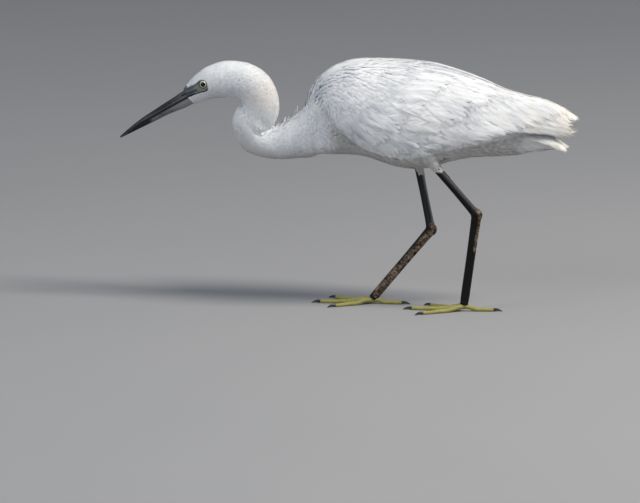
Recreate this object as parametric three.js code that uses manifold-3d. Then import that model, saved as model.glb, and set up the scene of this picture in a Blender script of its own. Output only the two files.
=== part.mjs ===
// A life-size little egret (Egretta garzetta), wading with its neck folded in an S and its
// bill held low. It faces -X, its left side is at -Y, and +Z is up. Units are millimetres.
// Inside this file X = 0 lies between the legs and Z = 0 is the ground. The last lines move
// the whole bird so that the origin is the centre of its footprint, on the ground.
import * as THREE from 'three';
import { mergeVertices } from 'three/addons/utils/BufferGeometryUtils.js';
import Module from 'manifold-3d';

const wasm = await Module();
wasm.setup();

// Driving dimensions
const GAP = 0.35; // clearance between neighbouring pieces
const LEFT = -1;
const RIGHT = 1;
const SIDES = { left: LEFT, right: RIGHT };

// Closed solids and their meshes

function solidOf(geometry) {
  const bare = geometry.clone();
  bare.deleteAttribute('normal');
  bare.deleteAttribute('uv');
  const merged = mergeVertices(bare, 1e-4);
  return new wasm.Manifold(
    new wasm.Mesh({
      numProp: 3,
      vertProperties: merged.attributes.position.array,
      triVerts: new Uint32Array(merged.index.array),
    }),
  );
}

function geometryOf(solid) {
  const mesh = solid.getMesh();
  const geometry = new THREE.BufferGeometry();
  geometry.setAttribute('position', new THREE.BufferAttribute(mesh.vertProperties, 3));
  geometry.setIndex(new THREE.BufferAttribute(mesh.triVerts, 1));
  const faceted = geometry.toNonIndexed();
  faceted.computeVertexNormals();
  return faceted;
}

function joined(solids) {
  return solids.reduce((sum, solid) => sum.add(solid));
}

// Keeps the largest closed surface of a solid, which drops loose scraps.
function largest(solid) {
  const bodies = solid.decompose();
  return bodies.reduce((best, body) => (body.volume() > best.volume() ? body : best));
}

// A smooth curve through [x, value] keys, without overshoot (monotone cubic).
function smooth(keys) {
  const slope = keys.slice(1).map(([x, v], i) => (v - keys[i][1]) / (x - keys[i][0]));
  const tangent = keys.map((_, i) => {
    if (i === 0) return slope[0];
    if (i === keys.length - 1) return slope[i - 1];
    const product = slope[i - 1] * slope[i];
    return product <= 0 ? 0 : (2 * product) / (slope[i - 1] + slope[i]);
  });
  return (x) => {
    const last = keys.length - 1;
    if (x <= keys[0][0]) return keys[0][1];
    if (x >= keys[last][0]) return keys[last][1];
    const i = keys.findIndex(([end]) => x < end) - 1;
    const width = keys[i + 1][0] - keys[i][0];
    const t = (x - keys[i][0]) / width;
    const rise = t * t * (3 - 2 * t);
    const lead = t * (1 - t) * (1 - t) * width;
    const trail = t * t * (t - 1) * width;
    return keys[i][1] * (1 - rise) + keys[i + 1][1] * rise + tangent[i] * lead + tangent[i + 1] * trail;
  };
}

// Joins rings of points, each with the same count, into a closed skin with a fan at each end.
// fold is the index at which the quads' diagonals turn round, so that the two faces of a
// thin piece are split alike.
function ringedSkin(rings, fold = Infinity) {
  const count = rings[0].length;
  const points = rings.flat();
  const faces = [];
  for (let j = 0; j + 1 < rings.length; j++) {
    for (let k = 0; k < count; k++) {
      const next = (k + 1) % count;
      const a = j * count + k;
      const b = j * count + next;
      const c = a + count;
      const d = b + count;
      if (k < fold) faces.push([a, b, d], [a, d, c]);
      else faces.push([a, b, c], [b, d, c]);
    }
  }
  for (const [start, turn] of [[0, 1], [(rings.length - 1) * count, 0]]) {
    const centre = new THREE.Vector3();
    for (let k = 0; k < count; k++) centre.addScaledVector(points[start + k], 1 / count);
    points.push(centre);
    for (let k = 0; k < count; k++) {
      const a = start + k;
      const b = start + ((k + 1) % count);
      faces.push(turn ? [points.length - 1, b, a] : [points.length - 1, a, b]);
    }
  }
  const geometry = new THREE.BufferGeometry().setFromPoints(points);
  geometry.setIndex(faces.flat());
  return geometry;
}

// A solid from rings, turned right side out.
function ringedSolid(rings, fold) {
  const geometry = ringedSkin(rings, fold);
  const solid = solidOf(geometry);
  if (solid.volume() > 0) return solid;
  const index = geometry.getIndex().array;
  for (let i = 0; i < index.length; i += 3) [index[i + 1], index[i + 2]] = [index[i + 2], index[i + 1]];
  return solidOf(geometry);
}

// A limb or neck along a path. Each station is {at: [x, y, z], tall, wide}, with tall and
// wide the half-sizes across the path, upright and sideways. steps rings are laid along it.
function limb(stations, steps, sides, grow = 0) {
  const path = new THREE.CatmullRomCurve3(
    stations.map(({ at }) => new THREE.Vector3(...at)),
    false,
    'centripetal',
  );
  const last = stations.length - 1;
  const tall = smooth(stations.map((s, i) => [i / last, s.tall]));
  const wide = smooth(stations.map((s, i) => [i / last, s.wide]));
  const rings = [];
  for (let j = 0; j <= steps; j++) {
    const t = j / steps;
    const along = path.getTangent(t);
    const across = new THREE.Vector3(0, 1, 0).addScaledVector(along, -along.y).normalize();
    const up = new THREE.Vector3().crossVectors(across, along);
    const ring = [];
    for (let k = 0; k < sides; k++) {
      const angle = (2 * Math.PI * k) / sides;
      ring.push(
        path
          .getPoint(t)
          .addScaledVector(up, (tall(t) + grow) * Math.cos(angle))
          .addScaledVector(across, (wide(t) + grow) * Math.sin(angle)),
      );
    }
    rings.push(ring);
  }
  return ringedSolid(rings);
}

// A box given by its centre, its sizes and a turn about Y, in degrees.
function block(centre, sizes, turn = 0) {
  const geometry = new THREE.BoxGeometry(...sizes);
  geometry.rotateY(THREE.MathUtils.degToRad(turn));
  geometry.translate(...centre);
  return solidOf(geometry);
}

// Trunk: its top, underside and half-width along X
const TRUNK_TOP = smooth([
  [-131, 214], [-127, 230], [-118, 242], [-107, 251.5], [-91, 259.5], [-74, 263.2], [-48, 263.5],
  [-23, 261.5], [3, 258.5], [19, 253.5], [40, 245], [61, 235], [82, 222.5], [103, 206], [120, 189], [130, 179.5],
]);
const TRUNK_LOW = smooth([
  [-131, 196], [-127, 176], [-118, 163], [-107, 160], [-91, 160.5], [-74, 160], [-62, 157.5], [-48, 152.5],
  [-31, 148], [-16, 146.5], [5, 149.5], [19, 155], [51, 161], [82, 162.5], [111, 167.5], [130, 172.5],
]);
const TRUNK_HALF_WIDTH = smooth([
  [-131, 4], [-126, 12], [-118, 20.5], [-107, 28.5], [-95, 33.5], [-80, 37.5], [-60, 39.5],
  [-20, 39], [5, 36.5], [40, 30.5], [80, 20], [100, 13.5], [115, 9], [130, 5],
]);
const TRUNK_ENDS = [-131, 130];
const BACK_NARROWING = 0.12; // the back is narrower than the belly

function trunkRing(x, grow, sides) {
  const top = TRUNK_TOP(x) + grow;
  const low = TRUNK_LOW(x) - grow;
  const ring = [];
  for (let k = 0; k < sides; k++) {
    const angle = (2 * Math.PI * k) / sides;
    const egg = 1 - BACK_NARROWING * Math.cos(angle);
    ring.push(
      new THREE.Vector3(
        x,
        (TRUNK_HALF_WIDTH(x) + grow) * Math.sin(angle) * egg,
        (top + low) / 2 + ((top - low) / 2) * Math.cos(angle),
      ),
    );
  }
  return ring;
}

function trunk(grow) {
  const [front, rear] = TRUNK_ENDS;
  const steps = 22;
  const rings = [];
  for (let j = 0; j <= steps; j++) {
    const t = j / steps;
    const eased = t < 0.25 ? t * t * 2 + t * 0.5 : t; // closer rings round the breast
    rings.push(trunkRing(front - grow + (rear - front + 2 * grow) * eased, grow, 22));
  }
  return ringedSolid(rings);
}

// Neck and head: the upper neck turns down behind the head, and the lower neck
// carries on from it, forward and under, back to the breast
const LOWER_NECK = [
  { at: [-185, 0, 206], tall: 12, wide: 9 },
  { at: [-188.5, 0, 199], tall: 19, wide: 13.5 },
  { at: [-190, 0, 189], tall: 20, wide: 14.5 },
  { at: [-185.5, 0, 177.5], tall: 18.6, wide: 14.5 },
  { at: [-172, 0, 171.5], tall: 16.8, wide: 14.5 },
  { at: [-155, 0, 172.5], tall: 18.9, wide: 15.5 },
  { at: [-140, 0, 177.4], tall: 21.8, wide: 17.5 },
  { at: [-121, 0, 187.5], tall: 25.5, wide: 21 },
  { at: [-102, 0, 201], tall: 33, wide: 27 },
];
const UPPER_NECK = [
  { at: [-206, 0, 237.4], tall: 19.6, wide: 15.6 },
  { at: [-198, 0, 236], tall: 20, wide: 15.8 },
  { at: [-187, 0, 229.5], tall: 20.2, wide: 15.4 },
  { at: [-180.5, 0, 218.5], tall: 19.8, wide: 14.8 },
  { at: [-179.5, 0, 206.5], tall: 19.8, wide: 14.4 },
  { at: [-184, 0, 195], tall: 18.6, wide: 13.6 },
  { at: [-189, 0, 187], tall: 15.5, wide: 12 },
];
const HEAD = [
  { at: [-256.6, 0, 217.6], tall: 9.8, wide: 6.6 },
  { at: [-248.5, 0, 223.6], tall: 13.2, wide: 9.4 },
  { at: [-239.6, 0, 229.4], tall: 15.6, wide: 12.2 },
  { at: [-228.5, 0, 234.6], tall: 18, wide: 14.6 },
  { at: [-215, 0, 237.5], tall: 19.6, wide: 15.8 },
  { at: [-204, 0, 237.2], tall: 19.8, wide: 15.8 },
];

// Eyes: the ball, the socket and the raised lids
const EYE = { at: [-238.6, 9.5, 233.2], radius: 4.5 };
const LID = { out: 2.5, ring: 3.8, thick: 0.85 };

function eyeBall(side, grow = 0) {
  const ball = new THREE.SphereGeometry(EYE.radius + grow, 16, 10);
  ball.translate(EYE.at[0], side * EYE.at[1], EYE.at[2]);
  return solidOf(ball);
}

function lids(side) {
  const ring = new THREE.TorusGeometry(LID.ring, LID.thick, 6, 16);
  ring.scale(1, 0.9, 1);
  ring.rotateX(Math.PI / 2);
  ring.translate(EYE.at[0], side * (EYE.at[1] + LID.out), EYE.at[2]);
  return solidOf(ring);
}

// The line of the mouth runs on from the bill to below the eye
function mouthCorner(side) {
  return block([-251.5, side * 9.2, 218.4], [15, 4.4, 0.6], -30.4);
}

function flesh(grow) {
  return joined([
    trunk(grow),
    limb(LOWER_NECK, 20, 18, grow),
    limb(UPPER_NECK, 14, 18, grow),
    limb(HEAD, 12, 18, grow),
  ]);
}

// Bill: two mandibles that meet along the gape line, from its base to the tip
const BILL_BASE = [-254.5, 216.6];
const BILL_TIP = [-328.6, 173.2];
const BILL_ROOT = 1.4; // clear of the face, whose front is cut square to the bill
const BILL_LENGTH = Math.hypot(BILL_TIP[0] - BILL_BASE[0], BILL_TIP[1] - BILL_BASE[1]);
const BILL_WIDE = smooth([[0, 6.2], [22, 5.1], [52, 3.5], [75, 1.9], [84, 1.0], [87, 0.5]]);
const BILL_UP = smooth([[0, 11.3], [16, 9.6], [47, 6.3], [75, 2.8], [84, 1.3], [87, 0.6]]);
const BILL_DOWN = smooth([[0, 6.4], [8, 5.7], [19, 4], [34, 3.1], [52, 2.7], [66, 2.2], [80, 1.2], [87, 0.4]]);
const NOSTRIL = { from: 10, to: 34, up: 4.6, deep: 0.9, tall: 1.1 };

// A point of the bill: s along the gape line, y sideways, h square to the line
function billPoint(s, y, h) {
  const cos = (BILL_TIP[0] - BILL_BASE[0]) / BILL_LENGTH;
  const sin = (BILL_TIP[1] - BILL_BASE[1]) / BILL_LENGTH;
  return new THREE.Vector3(BILL_BASE[0] + cos * s + sin * h, y, BILL_BASE[1] + sin * s - cos * h);
}

function mandible(height, direction) {
  const steps = 12;
  const arc = 8;
  const seam = (GAP / 2) * direction;
  const rings = [];
  for (let j = 0; j <= steps; j++) {
    const s = BILL_ROOT + ((BILL_LENGTH - BILL_ROOT) * j) / steps;
    const ring = [];
    for (let k = 0; k <= arc; k++) {
      const angle = (Math.PI * k) / arc;
      ring.push(
        billPoint(s, BILL_WIDE(s) * Math.cos(angle), seam + direction * height(s) * Math.sin(angle) ** 0.85),
      );
    }
    rings.push(ring);
  }
  return ringedSolid(rings);
}

// The groove that runs forward from each nostril
function nasalGroove(side) {
  const rings = [0, 0.25, 0.6, 1].map((t) => {
    const s = NOSTRIL.from + (NOSTRIL.to - NOSTRIL.from) * t;
    const reach = BILL_WIDE(s) * Math.sqrt(1 - (NOSTRIL.up / BILL_UP(s)) ** 2);
    const tall = NOSTRIL.tall * (1 - 0.75 * t);
    return [
      billPoint(s, side * (reach + 2), NOSTRIL.up - tall),
      billPoint(s, side * (reach + 2), NOSTRIL.up + tall),
      billPoint(s, side * (reach - NOSTRIL.deep), NOSTRIL.up),
    ];
  });
  return ringedSolid(rings);
}

// Wings: a surface that follows the trunk and then closes to the wing tips. A point of it
// has x along the bird, an angle round the section (0 at the ridge of the back, 180 at the
// keel) and a height above the surface.
const WING_TOP = smooth([
  [-131, 214], [-127, 230], [-118, 242], [-107, 251.5], [-91, 259.5], [-74, 262.7], [-48, 262.5], [-23, 260.5],
  [3, 257.5], [19, 253.5], [40, 247], [61, 239], [82, 231], [103, 225.5], [120, 222], [140, 213.5], [158, 203],
]);
const WING_LOW = smooth([
  [-131, 196], [-127, 176], [-118, 163], [-107, 160], [-91, 160.5], [-74, 160], [-62, 157.5], [-48, 152.5],
  [-31, 148], [-16, 146.5], [5, 149.5], [19, 155], [51, 160], [82, 163], [103, 168], [120, 172], [140, 176], [158, 182],
]);
const WING_HALF_WIDTH = smooth([
  [-131, 4], [-126, 12], [-118, 20.5], [-107, 28.5], [-95, 33.5], [-80, 37.5], [-60, 39.5], [-20, 39], [5, 36.5],
  [40, 31], [61, 27], [82, 22.5], [103, 17.5], [120, 13.5], [140, 9.5], [158, 6.5],
]);
// The wing's upper and lower borders, as angles, along X
const WING_UPPER_EDGE = smooth([
  [-123, 66], [-119, 50], [-112, 39], [-95, 28], [-60, 18], [-20, 5], [20, 2], [160, 2],
]);
const WING_LOWER_EDGE = smooth([
  [-123, 70], [-119, 84], [-112, 94], [-100, 105], [-85, 122], [-64, 136], [-32, 129], [7, 120], [46, 118],
  [62, 109], [90, 98], [130, 104], [160, 110],
]);
const WING_CORE_ENDS = [-123, 104];
const WING_CORE_THICK = smooth([[-123, 0.5], [-117, 2], [-107, 3.6], [-92, 4.6], [-60, 4.6], [-10, 3.6], [40, 2.2], [104, 1]]);
// The core keeps clear of the lower border behind the flank
const CORE_REACH = smooth([[-122, 1], [-40, 0.97], [20, 0.9], [104, 0.8]]);
const WING_CORE_RIM = smooth([[0, 0.25], [0.16, 1], [0.6, 1], [0.88, 0.5], [1, 0.2]]);

function wingPoint(side, x, degrees, height) {
  const angle = THREE.MathUtils.degToRad(degrees);
  const top = WING_TOP(x) + height;
  const low = WING_LOW(x) - height;
  const egg = 1 - BACK_NARROWING * Math.cos(angle);
  return new THREE.Vector3(
    x,
    side * (WING_HALF_WIDTH(x) + height) * Math.sin(angle) * egg,
    (top + low) / 2 + ((top - low) / 2) * Math.cos(angle),
  );
}

// The angle at a share of the way from the wing's upper border to its lower one
function wingAngle(x, share) {
  return WING_UPPER_EDGE(x) + (WING_LOWER_EDGE(x) - WING_UPPER_EDGE(x)) * share;
}

// The wing's core: the arm and its smallest coverts, thinning out towards the borders
function wingCore(side) {
  const [front, rear] = WING_CORE_ENDS;
  const steps = 13;
  const arc = 9;
  const rings = [];
  for (let j = 0; j <= steps; j++) {
    const t = j / steps;
    const x = front + (rear - front) * t * (0.4 + 0.6 * t); // closer rings round the shoulder
    const outer = [];
    const inner = [];
    for (let k = 0; k <= arc; k++) {
      const share = k / arc;
      const degrees = wingAngle(x, share * CORE_REACH(x));
      outer.push(wingPoint(side, x, degrees, WING_CORE_THICK(x) * WING_CORE_RIM(share)));
      inner.push(wingPoint(side, x, degrees, -2.2));
    }
    rings.push([...outer, ...inner.reverse()]);
  }
  return ringedSolid(rings);
}

// Feathers. A vane runs from its root to its tip over a surface, its lower edge raised so
// that it lies on the next one down. Stations along it give its width and the lift of that edge.
const VANE_STATIONS = [0, 0.22, 0.5, 0.75, 0.9, 1];
const VANE_WIDTH = smooth([[0, 0.5], [0.25, 0.86], [0.55, 1], [0.78, 0.92], [0.92, 0.6], [1, 0.14]]);
const VANE_THICK = smooth([[0, 1], [0.6, 0.85], [0.9, 0.62], [1, 0.4]]);

// place(along, across, height) gives a point of the surface the vane lies on, with across in
// millimetres either side of the vane's middle line
function vane(place, { width, thick, height, lift }) {
  const rings = VANE_STATIONS.map((along) => {
    const half = (width * VANE_WIDTH(along)) / 2;
    const depth = thick * VANE_THICK(along);
    const base = height[0] + (height[1] - height[0]) * along;
    const raised = base + lift * Math.min(1, along / 0.45);
    return [
      place(along, -half, base),
      place(along, half, raised),
      place(along, half, raised - depth),
      place(along, -half, base - depth),
    ];
  });
  return ringedSolid(rings, 2);
}

// The rows of wing feathers. Each row runs from its uppermost feather to its lowest one:
// roots and tips are [x, share of the way from the upper border to the lower one].
const FEATHER_ROWS = {
  primary: {
    count: 4, width: 7, thick: 0.6, height: [-0.8, -1], lift: 2.2, bow: 0.02,
    root: [[34, 0.4], [22, 0.8]],
    tip: [[157, 0.3], [150, 0.96]],
  },
  secondary: {
    count: 9, width: 12, thick: 0.72, height: [0.8, 1.7], lift: 2.8, bow: 0.03,
    root: [[10, 0.24], [-70, 0.84]],
    tip: [
      [142, 0.11], [137, 0.37], [127, 0.61], [113, 0.79], [97, 0.9], [79, 0.97], [56, 1], [28, 1], [-4, 1],
    ],
  },
  greaterCovert: {
    count: 8, width: 12, thick: 0.75, height: [1.4, 4.2], lift: 2.2, bow: 0.02,
    root: [[-44, 0.42], [-88, 0.72]],
    tip: [[50, 0.49], [28, 0.67], [-4, 0.86], [-38, 1]],
  },
  medianCovert: {
    count: 5, width: 13, thick: 0.7, height: [1.8, 6], lift: 2.2, bow: 0.02,
    root: [[-68, 0.38], [-98, 0.64]],
    tip: [[-6, 0.43], [-34, 0.68], [-60, 0.9]],
  },
  scapular: {
    count: 3, width: 12, thick: 0.75, height: [0.8, 3.6], lift: 2.2, bow: -0.02,
    root: [[-34, 0.12], [-56, 0.34]],
    tip: [[98, 0.12], [62, 0.3], [26, 0.4]],
  },
};

function between(a, b, t) {
  return a.map((value, i) => value + (b[i] - value) * t);
}

// A point a share of the way along a list of points
function alongList(points, t) {
  const at = t * (points.length - 1);
  const i = Math.min(Math.floor(at), points.length - 2);
  return between(points[i], points[i + 1], at - i);
}

// A seeded stream of numbers from -1 to 1 (mulberry32)
function jitters(seed) {
  let state = seed;
  return () => {
    state = (state + 0x6d2b79f5) | 0;
    let t = Math.imul(state ^ (state >>> 15), 1 | state);
    t = (t + Math.imul(t ^ (t >>> 7), 61 | t)) ^ t;
    return ((t ^ (t >>> 14)) >>> 0) / 2147483648 - 1;
  };
}

function wingFeather(side, row, root, tip) {
  const middle = (along) => {
    const [x, share] = between(root, tip, along);
    return [x, wingAngle(x, share) + row.bow * 57 * Math.sin(Math.PI * along)];
  };
  const place = (along, across, height) => {
    const [x, degrees] = middle(along);
    const here = wingPoint(side, x, degrees, height);
    const ahead = wingPoint(side, ...middle(Math.min(along + 0.01, 1)), height);
    const run = ahead.sub(wingPoint(side, ...middle(Math.max(along - 0.01, 0)), height)).normalize();
    const perX = wingPoint(side, x + 1, degrees, height).sub(here);
    const perDegree = wingPoint(side, x, degrees + 1, height).sub(here);
    const down = perDegree.clone().cross(perX).cross(run).normalize();
    down.multiplyScalar(Math.sign(down.dot(perDegree)));
    // the steps in x and in degrees that go straight down from the middle line
    const [xx, xd, dd] = [perX.dot(perX), perX.dot(perDegree), perDegree.dot(perDegree)];
    const [xWant, dWant] = [perX.dot(down) * across, perDegree.dot(down) * across];
    const scale = xx * dd - xd * xd;
    const xStep = (xWant * dd - dWant * xd) / scale;
    const degreesStep = (dWant * xx - xWant * xd) / scale;
    return wingPoint(side, x + xStep, degrees + degreesStep, height);
  };
  return vane(place, row);
}

function wingFeathers(side) {
  const vanes = [];
  const jitter = jitters(side === LEFT ? 11 : 29);
  for (const row of Object.values(FEATHER_ROWS)) {
    for (let i = 0; i < row.count; i++) {
      const t = i / (row.count - 1);
      const tip = alongList(row.tip, t);
      vanes.push(wingFeather(side, row, alongList(row.root, t), [tip[0] + 1.5 * jitter(), tip[1]]));
    }
  }
  return vanes;
}

// Tail: the feathers lie in pairs under the middle one, drooping to each side like a roof
const TAIL = {
  root: [98, 183],
  tip: [143, 174.8],
  pairs: 5,
  width: 11,
  thick: 0.62,
  level: 1,
  droop: 0.33,
  spread: [0.7, 0.6],
};

function tailFeather(side, level) {
  const shift = side === 0 ? 0 : TAIL.width / 2 + 0.4;
  const place = (along, across, height) => {
    const [x, z] = between(TAIL.root, TAIL.tip, along);
    const aside = side * (shift * (0.6 + 0.42 * along) + level * (TAIL.spread[0] + TAIL.spread[1] * along));
    const end = along * level * 2.2; // the outer feathers are shorter
    const droop = TAIL.droop * Math.abs(side * (aside + across));
    return new THREE.Vector3(x - end, aside + across, z + height - level * TAIL.level - droop);
  };
  return vane(place, { width: TAIL.width, thick: TAIL.thick, height: [0, 0], lift: 0 });
}

// Legs
const LEGS = {
  left: {
    side: LEFT,
    thigh: [
      { at: [-16, -23, 186], tall: 20, wide: 12 },
      { at: [-5, -23, 170], tall: 14, wide: 11 },
      { at: [4, -22, 160], tall: 9.5, wide: 8.5 },
      { at: [10, -21.5, 153.3], tall: 6.2, wide: 5.8 },
    ],
    heel: [51.3, -21, 102.8],
    ball: [38.4, -21, 7.5],
    heading: 0,
  },
  right: {
    side: RIGHT,
    thigh: [
      { at: [-22, 23, 180], tall: 18, wide: 12 },
      { at: [-19, 23, 165], tall: 12, wide: 10.5 },
      { at: [-16.5, 22.5, 152], tall: 8, wide: 7.5 },
      { at: [-15, 22, 144.5], tall: 5.8, wide: 5.4 },
    ],
    heel: [-1.6, 21, 79],
    ball: [-62.2, 9, 6],
    heading: 4,
  },
};
const SHANK = { top: 4.6, middle: 4.1, heel: 5 };
const TARSUS = { heel: 5.4, middle: 4.6, ball: 4.2 };
// Toes, as [name, angle from straight ahead, length, root radius]
const TOES = [
  ['inner', 31, 44, 2.5],
  ['middle', 0, 55, 2.7],
  ['outer', -33, 48, 2.5],
  ['hind', 176, 31, 2.4],
];
const CLAW = { length: 9, radius: 1.7 };
const SOLE = 0.45; // the toes are cut flat at this height

function shank(leg) {
  const top = leg.thigh[leg.thigh.length - 1].at;
  const start = between(top, leg.heel, (1.8 * GAP) / Math.hypot(...top.map((v, i) => leg.heel[i] - v)));
  return limb(
    [
      { at: start, tall: SHANK.top, wide: SHANK.top * 0.9 },
      { at: between(start, leg.heel, 0.45), tall: SHANK.middle, wide: SHANK.middle * 0.88 },
      { at: between(start, leg.heel, 0.82), tall: SHANK.middle * 1.06, wide: SHANK.middle * 0.95 },
      { at: leg.heel, tall: SHANK.heel, wide: SHANK.heel * 0.95 },
    ],
    9,
    10,
  );
}

function heelKnob(leg) {
  const knob = new THREE.SphereGeometry(1, 10, 7);
  knob.scale(6.1, 5.2, 6.8);
  knob.translate(...leg.heel);
  return solidOf(knob);
}

function tarsus(leg) {
  return limb(
    [
      { at: leg.heel, tall: TARSUS.heel, wide: TARSUS.heel * 0.9 },
      { at: between(leg.heel, leg.ball, 0.16), tall: TARSUS.middle * 1.08, wide: TARSUS.middle * 0.85 },
      { at: between(leg.heel, leg.ball, 0.55), tall: TARSUS.middle, wide: TARSUS.middle * 0.8 },
      { at: between(leg.heel, leg.ball, 0.88), tall: TARSUS.middle, wide: TARSUS.middle * 0.86 },
      { at: leg.ball, tall: TARSUS.ball, wide: TARSUS.ball },
    ],
    8,
    10,
  );
}

// A toe's direction on the ground. Zero degrees is straight ahead, towards -X.
function toeHeading(leg, angle) {
  const turn = THREE.MathUtils.degToRad(leg.heading + angle);
  return [-Math.cos(turn), -leg.side * Math.sin(turn)];
}

function toe(leg, [, angle, length, radius]) {
  const [dx, dy] = toeHeading(leg, angle);
  const point = (s, z) => [leg.ball[0] + dx * s, leg.ball[1] + dy * s, z];
  return limb(
    [
      { at: point(0, leg.ball[2] - 1.5), tall: radius * 1.25, wide: radius * 1.25 },
      { at: point(length * 0.2, 4.6), tall: radius * 1.02, wide: radius * 1.05 },
      { at: point(length * 0.42, 2.5), tall: radius, wide: radius * 1.1 },
      { at: point(length * 0.62, 2.5), tall: radius * 0.84, wide: radius * 0.9 },
      { at: point(length * 0.8, 2.1), tall: radius * 0.84, wide: radius * 0.92 },
      { at: point(length, 2.3), tall: radius * 0.7, wide: radius * 0.7 },
    ],
    10,
    7,
  );
}

function claw(leg, [, angle, length]) {
  const [dx, dy] = toeHeading(leg, angle);
  const point = (s, z) => [leg.ball[0] + dx * (length + GAP + s), leg.ball[1] + dy * (length + GAP + s), z];
  return limb(
    [
      { at: point(0, 2.35), tall: CLAW.radius, wide: CLAW.radius * 0.75 },
      { at: point(CLAW.length * 0.4, 2.5), tall: CLAW.radius * 0.8, wide: CLAW.radius * 0.6 },
      { at: point(CLAW.length * 0.75, 1.75), tall: CLAW.radius * 0.5, wide: CLAW.radius * 0.4 },
      { at: point(CLAW.length, 0.8), tall: 0.25, wide: 0.25 },
    ],
    4,
    6,
  );
}

// Materials
const COLOURS = {
  plumage: { color: 0xeef0f2, roughness: 0.85, metalness: 0 },
  bill: { color: 0x23262e, roughness: 0.42, metalness: 0 },
  bill_pale: { color: 0x6f6c70, roughness: 0.5, metalness: 0 },
  eye: { color: 0xd9d27a, roughness: 0.1, metalness: 0 },
  leg: { color: 0x2b2a29, roughness: 0.55, metalness: 0 },
  foot: { color: 0xa9a04a, roughness: 0.6, metalness: 0 },
  claw: { color: 0x1d1b1a, roughness: 0.45, metalness: 0 },
};
const MATERIALS = Object.fromEntries(
  Object.entries(COLOURS).map(([name, look]) => [name, new THREE.MeshStandardMaterial(look)]),
);

const bird = new THREE.Group();

function addNode(name, solid, material) {
  const mesh = new THREE.Mesh(geometryOf(largest(solid)), MATERIALS[material]);
  mesh.name = name;
  bird.add(mesh);
}

// Head, neck and trunk: one form, parted by thin cuts
const CUTS = {
  head: { at: [-203, 0, 237], turn: 4, reach: 60 },
  neckTop: { at: [-186, 0, 191], turn: 60, reach: 80 },
  neckLoop: { at: [-160, 0, 172], turn: 0, reach: 60 },
  breast: { at: [-139, 0, 177], turn: -30, reach: 66 },
  tail: { at: [84, 0, 190], turn: -14, reach: 120 },
};

let body = flesh(0);
for (const side of Object.values(SIDES)) {
  body = body.add(lids(side)).subtract(eyeBall(side, GAP)).subtract(mouthCorner(side));
}
// the front of the face is cut square to the bill
body = body.subtract(block([-260.94, 0, 215.15], [12, 40, 60], -30.35));
for (const { at, turn, reach } of Object.values(CUTS)) {
  body = body.subtract(block(at, [GAP, 120, reach], turn));
}
const fleshPieces = body.decompose();

// The piece of flesh round a point on the midplane
function fleshAt(x, z) {
  const probe = block([x, 0, z], [2, 2, 2]);
  return fleshPieces.find((piece) => piece.intersect(probe).volume() > 0);
}

addNode('head', fleshAt(-225, 236), 'plumage');
addNode('neck_upper', fleshAt(-190, 225), 'plumage');
addNode('neck_middle', fleshAt(-188, 178), 'plumage');
addNode('neck_lower', fleshAt(-150, 176), 'plumage');
addNode('torso', fleshAt(-40, 210), 'plumage');

// Bill
let upperBill = mandible(BILL_UP, 1);
for (const side of Object.values(SIDES)) upperBill = upperBill.subtract(nasalGroove(side));
addNode('bill_upper', upperBill, 'bill');
addNode('bill_lower', mandible(BILL_DOWN, -1), 'bill_pale');

// Wings, legs
const fleshGrown = flesh(GAP);
for (const [name, side] of Object.entries(SIDES)) {
  const leg = LEGS[name];
  addNode(`eye_${name}`, eyeBall(side), 'eye');
  const thigh = limb(leg.thigh, 8, 14).subtract(fleshGrown);
  const otherSide = block([0, -side * (100 - 0.2), 200], [400, 200, 300]);
  const wing = joined([wingCore(side), ...wingFeathers(side)])
    .subtract(fleshGrown)
    .subtract(limb(leg.thigh, 8, 14, GAP))
    .subtract(otherSide);
  addNode(`wing_${name}`, wing, 'plumage');
  addNode(`thigh_${name}`, thigh, 'plumage');
  const ankle = block([leg.heel[0], leg.heel[1], leg.heel[2] + 5], [40, 40, GAP]);
  const toeJoint = block([leg.ball[0], leg.ball[1], 14], [40, 40, GAP]);
  const ground = block([0, 0, SOLE - 10], [600, 400, 20]);
  const wholeLeg = joined([
    shank(leg),
    heelKnob(leg),
    tarsus(leg),
    ...TOES.map((each) => toe(leg, each)),
  ])
    .subtract(ankle)
    .subtract(toeJoint)
    .subtract(ground);
  const legPieces = wholeLeg
    .decompose()
    .map((piece) => ({ piece, z: piece.boundingBox().max[2] }))
    .filter(({ piece }) => piece.volume() > 50)
    .sort((a, b) => b.z - a.z);
  addNode(`shank_${name}`, legPieces[0].piece, 'leg');
  addNode(`tarsus_${name}`, legPieces[1].piece, 'leg');
  addNode(`foot_${name}`, legPieces[2].piece, 'foot');
  for (const each of TOES) addNode(`claw_${name}_${each[0]}`, claw(leg, each), 'claw');
}

// Tail
const rectrices = [tailFeather(0, 0)];
for (let level = 1; level <= TAIL.pairs; level++) {
  for (const side of Object.values(SIDES)) rectrices.push(tailFeather(side, level));
}
const tailPiece = joined([fleshAt(95, 185), ...rectrices]);
addNode('tail', tailPiece, 'plumage');

// The origin is the centre of the bird's footprint, on the ground
bird.updateMatrixWorld(true);
const extent = new THREE.Box3().setFromObject(bird);
const middle = extent.getCenter(new THREE.Vector3());
bird.position.set(-middle.x, -middle.y, -extent.min.z);

export default bird;
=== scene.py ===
import math

import bpy
import numpy as np
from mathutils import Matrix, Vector
from mathutils.bvhtree import BVHTree


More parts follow.
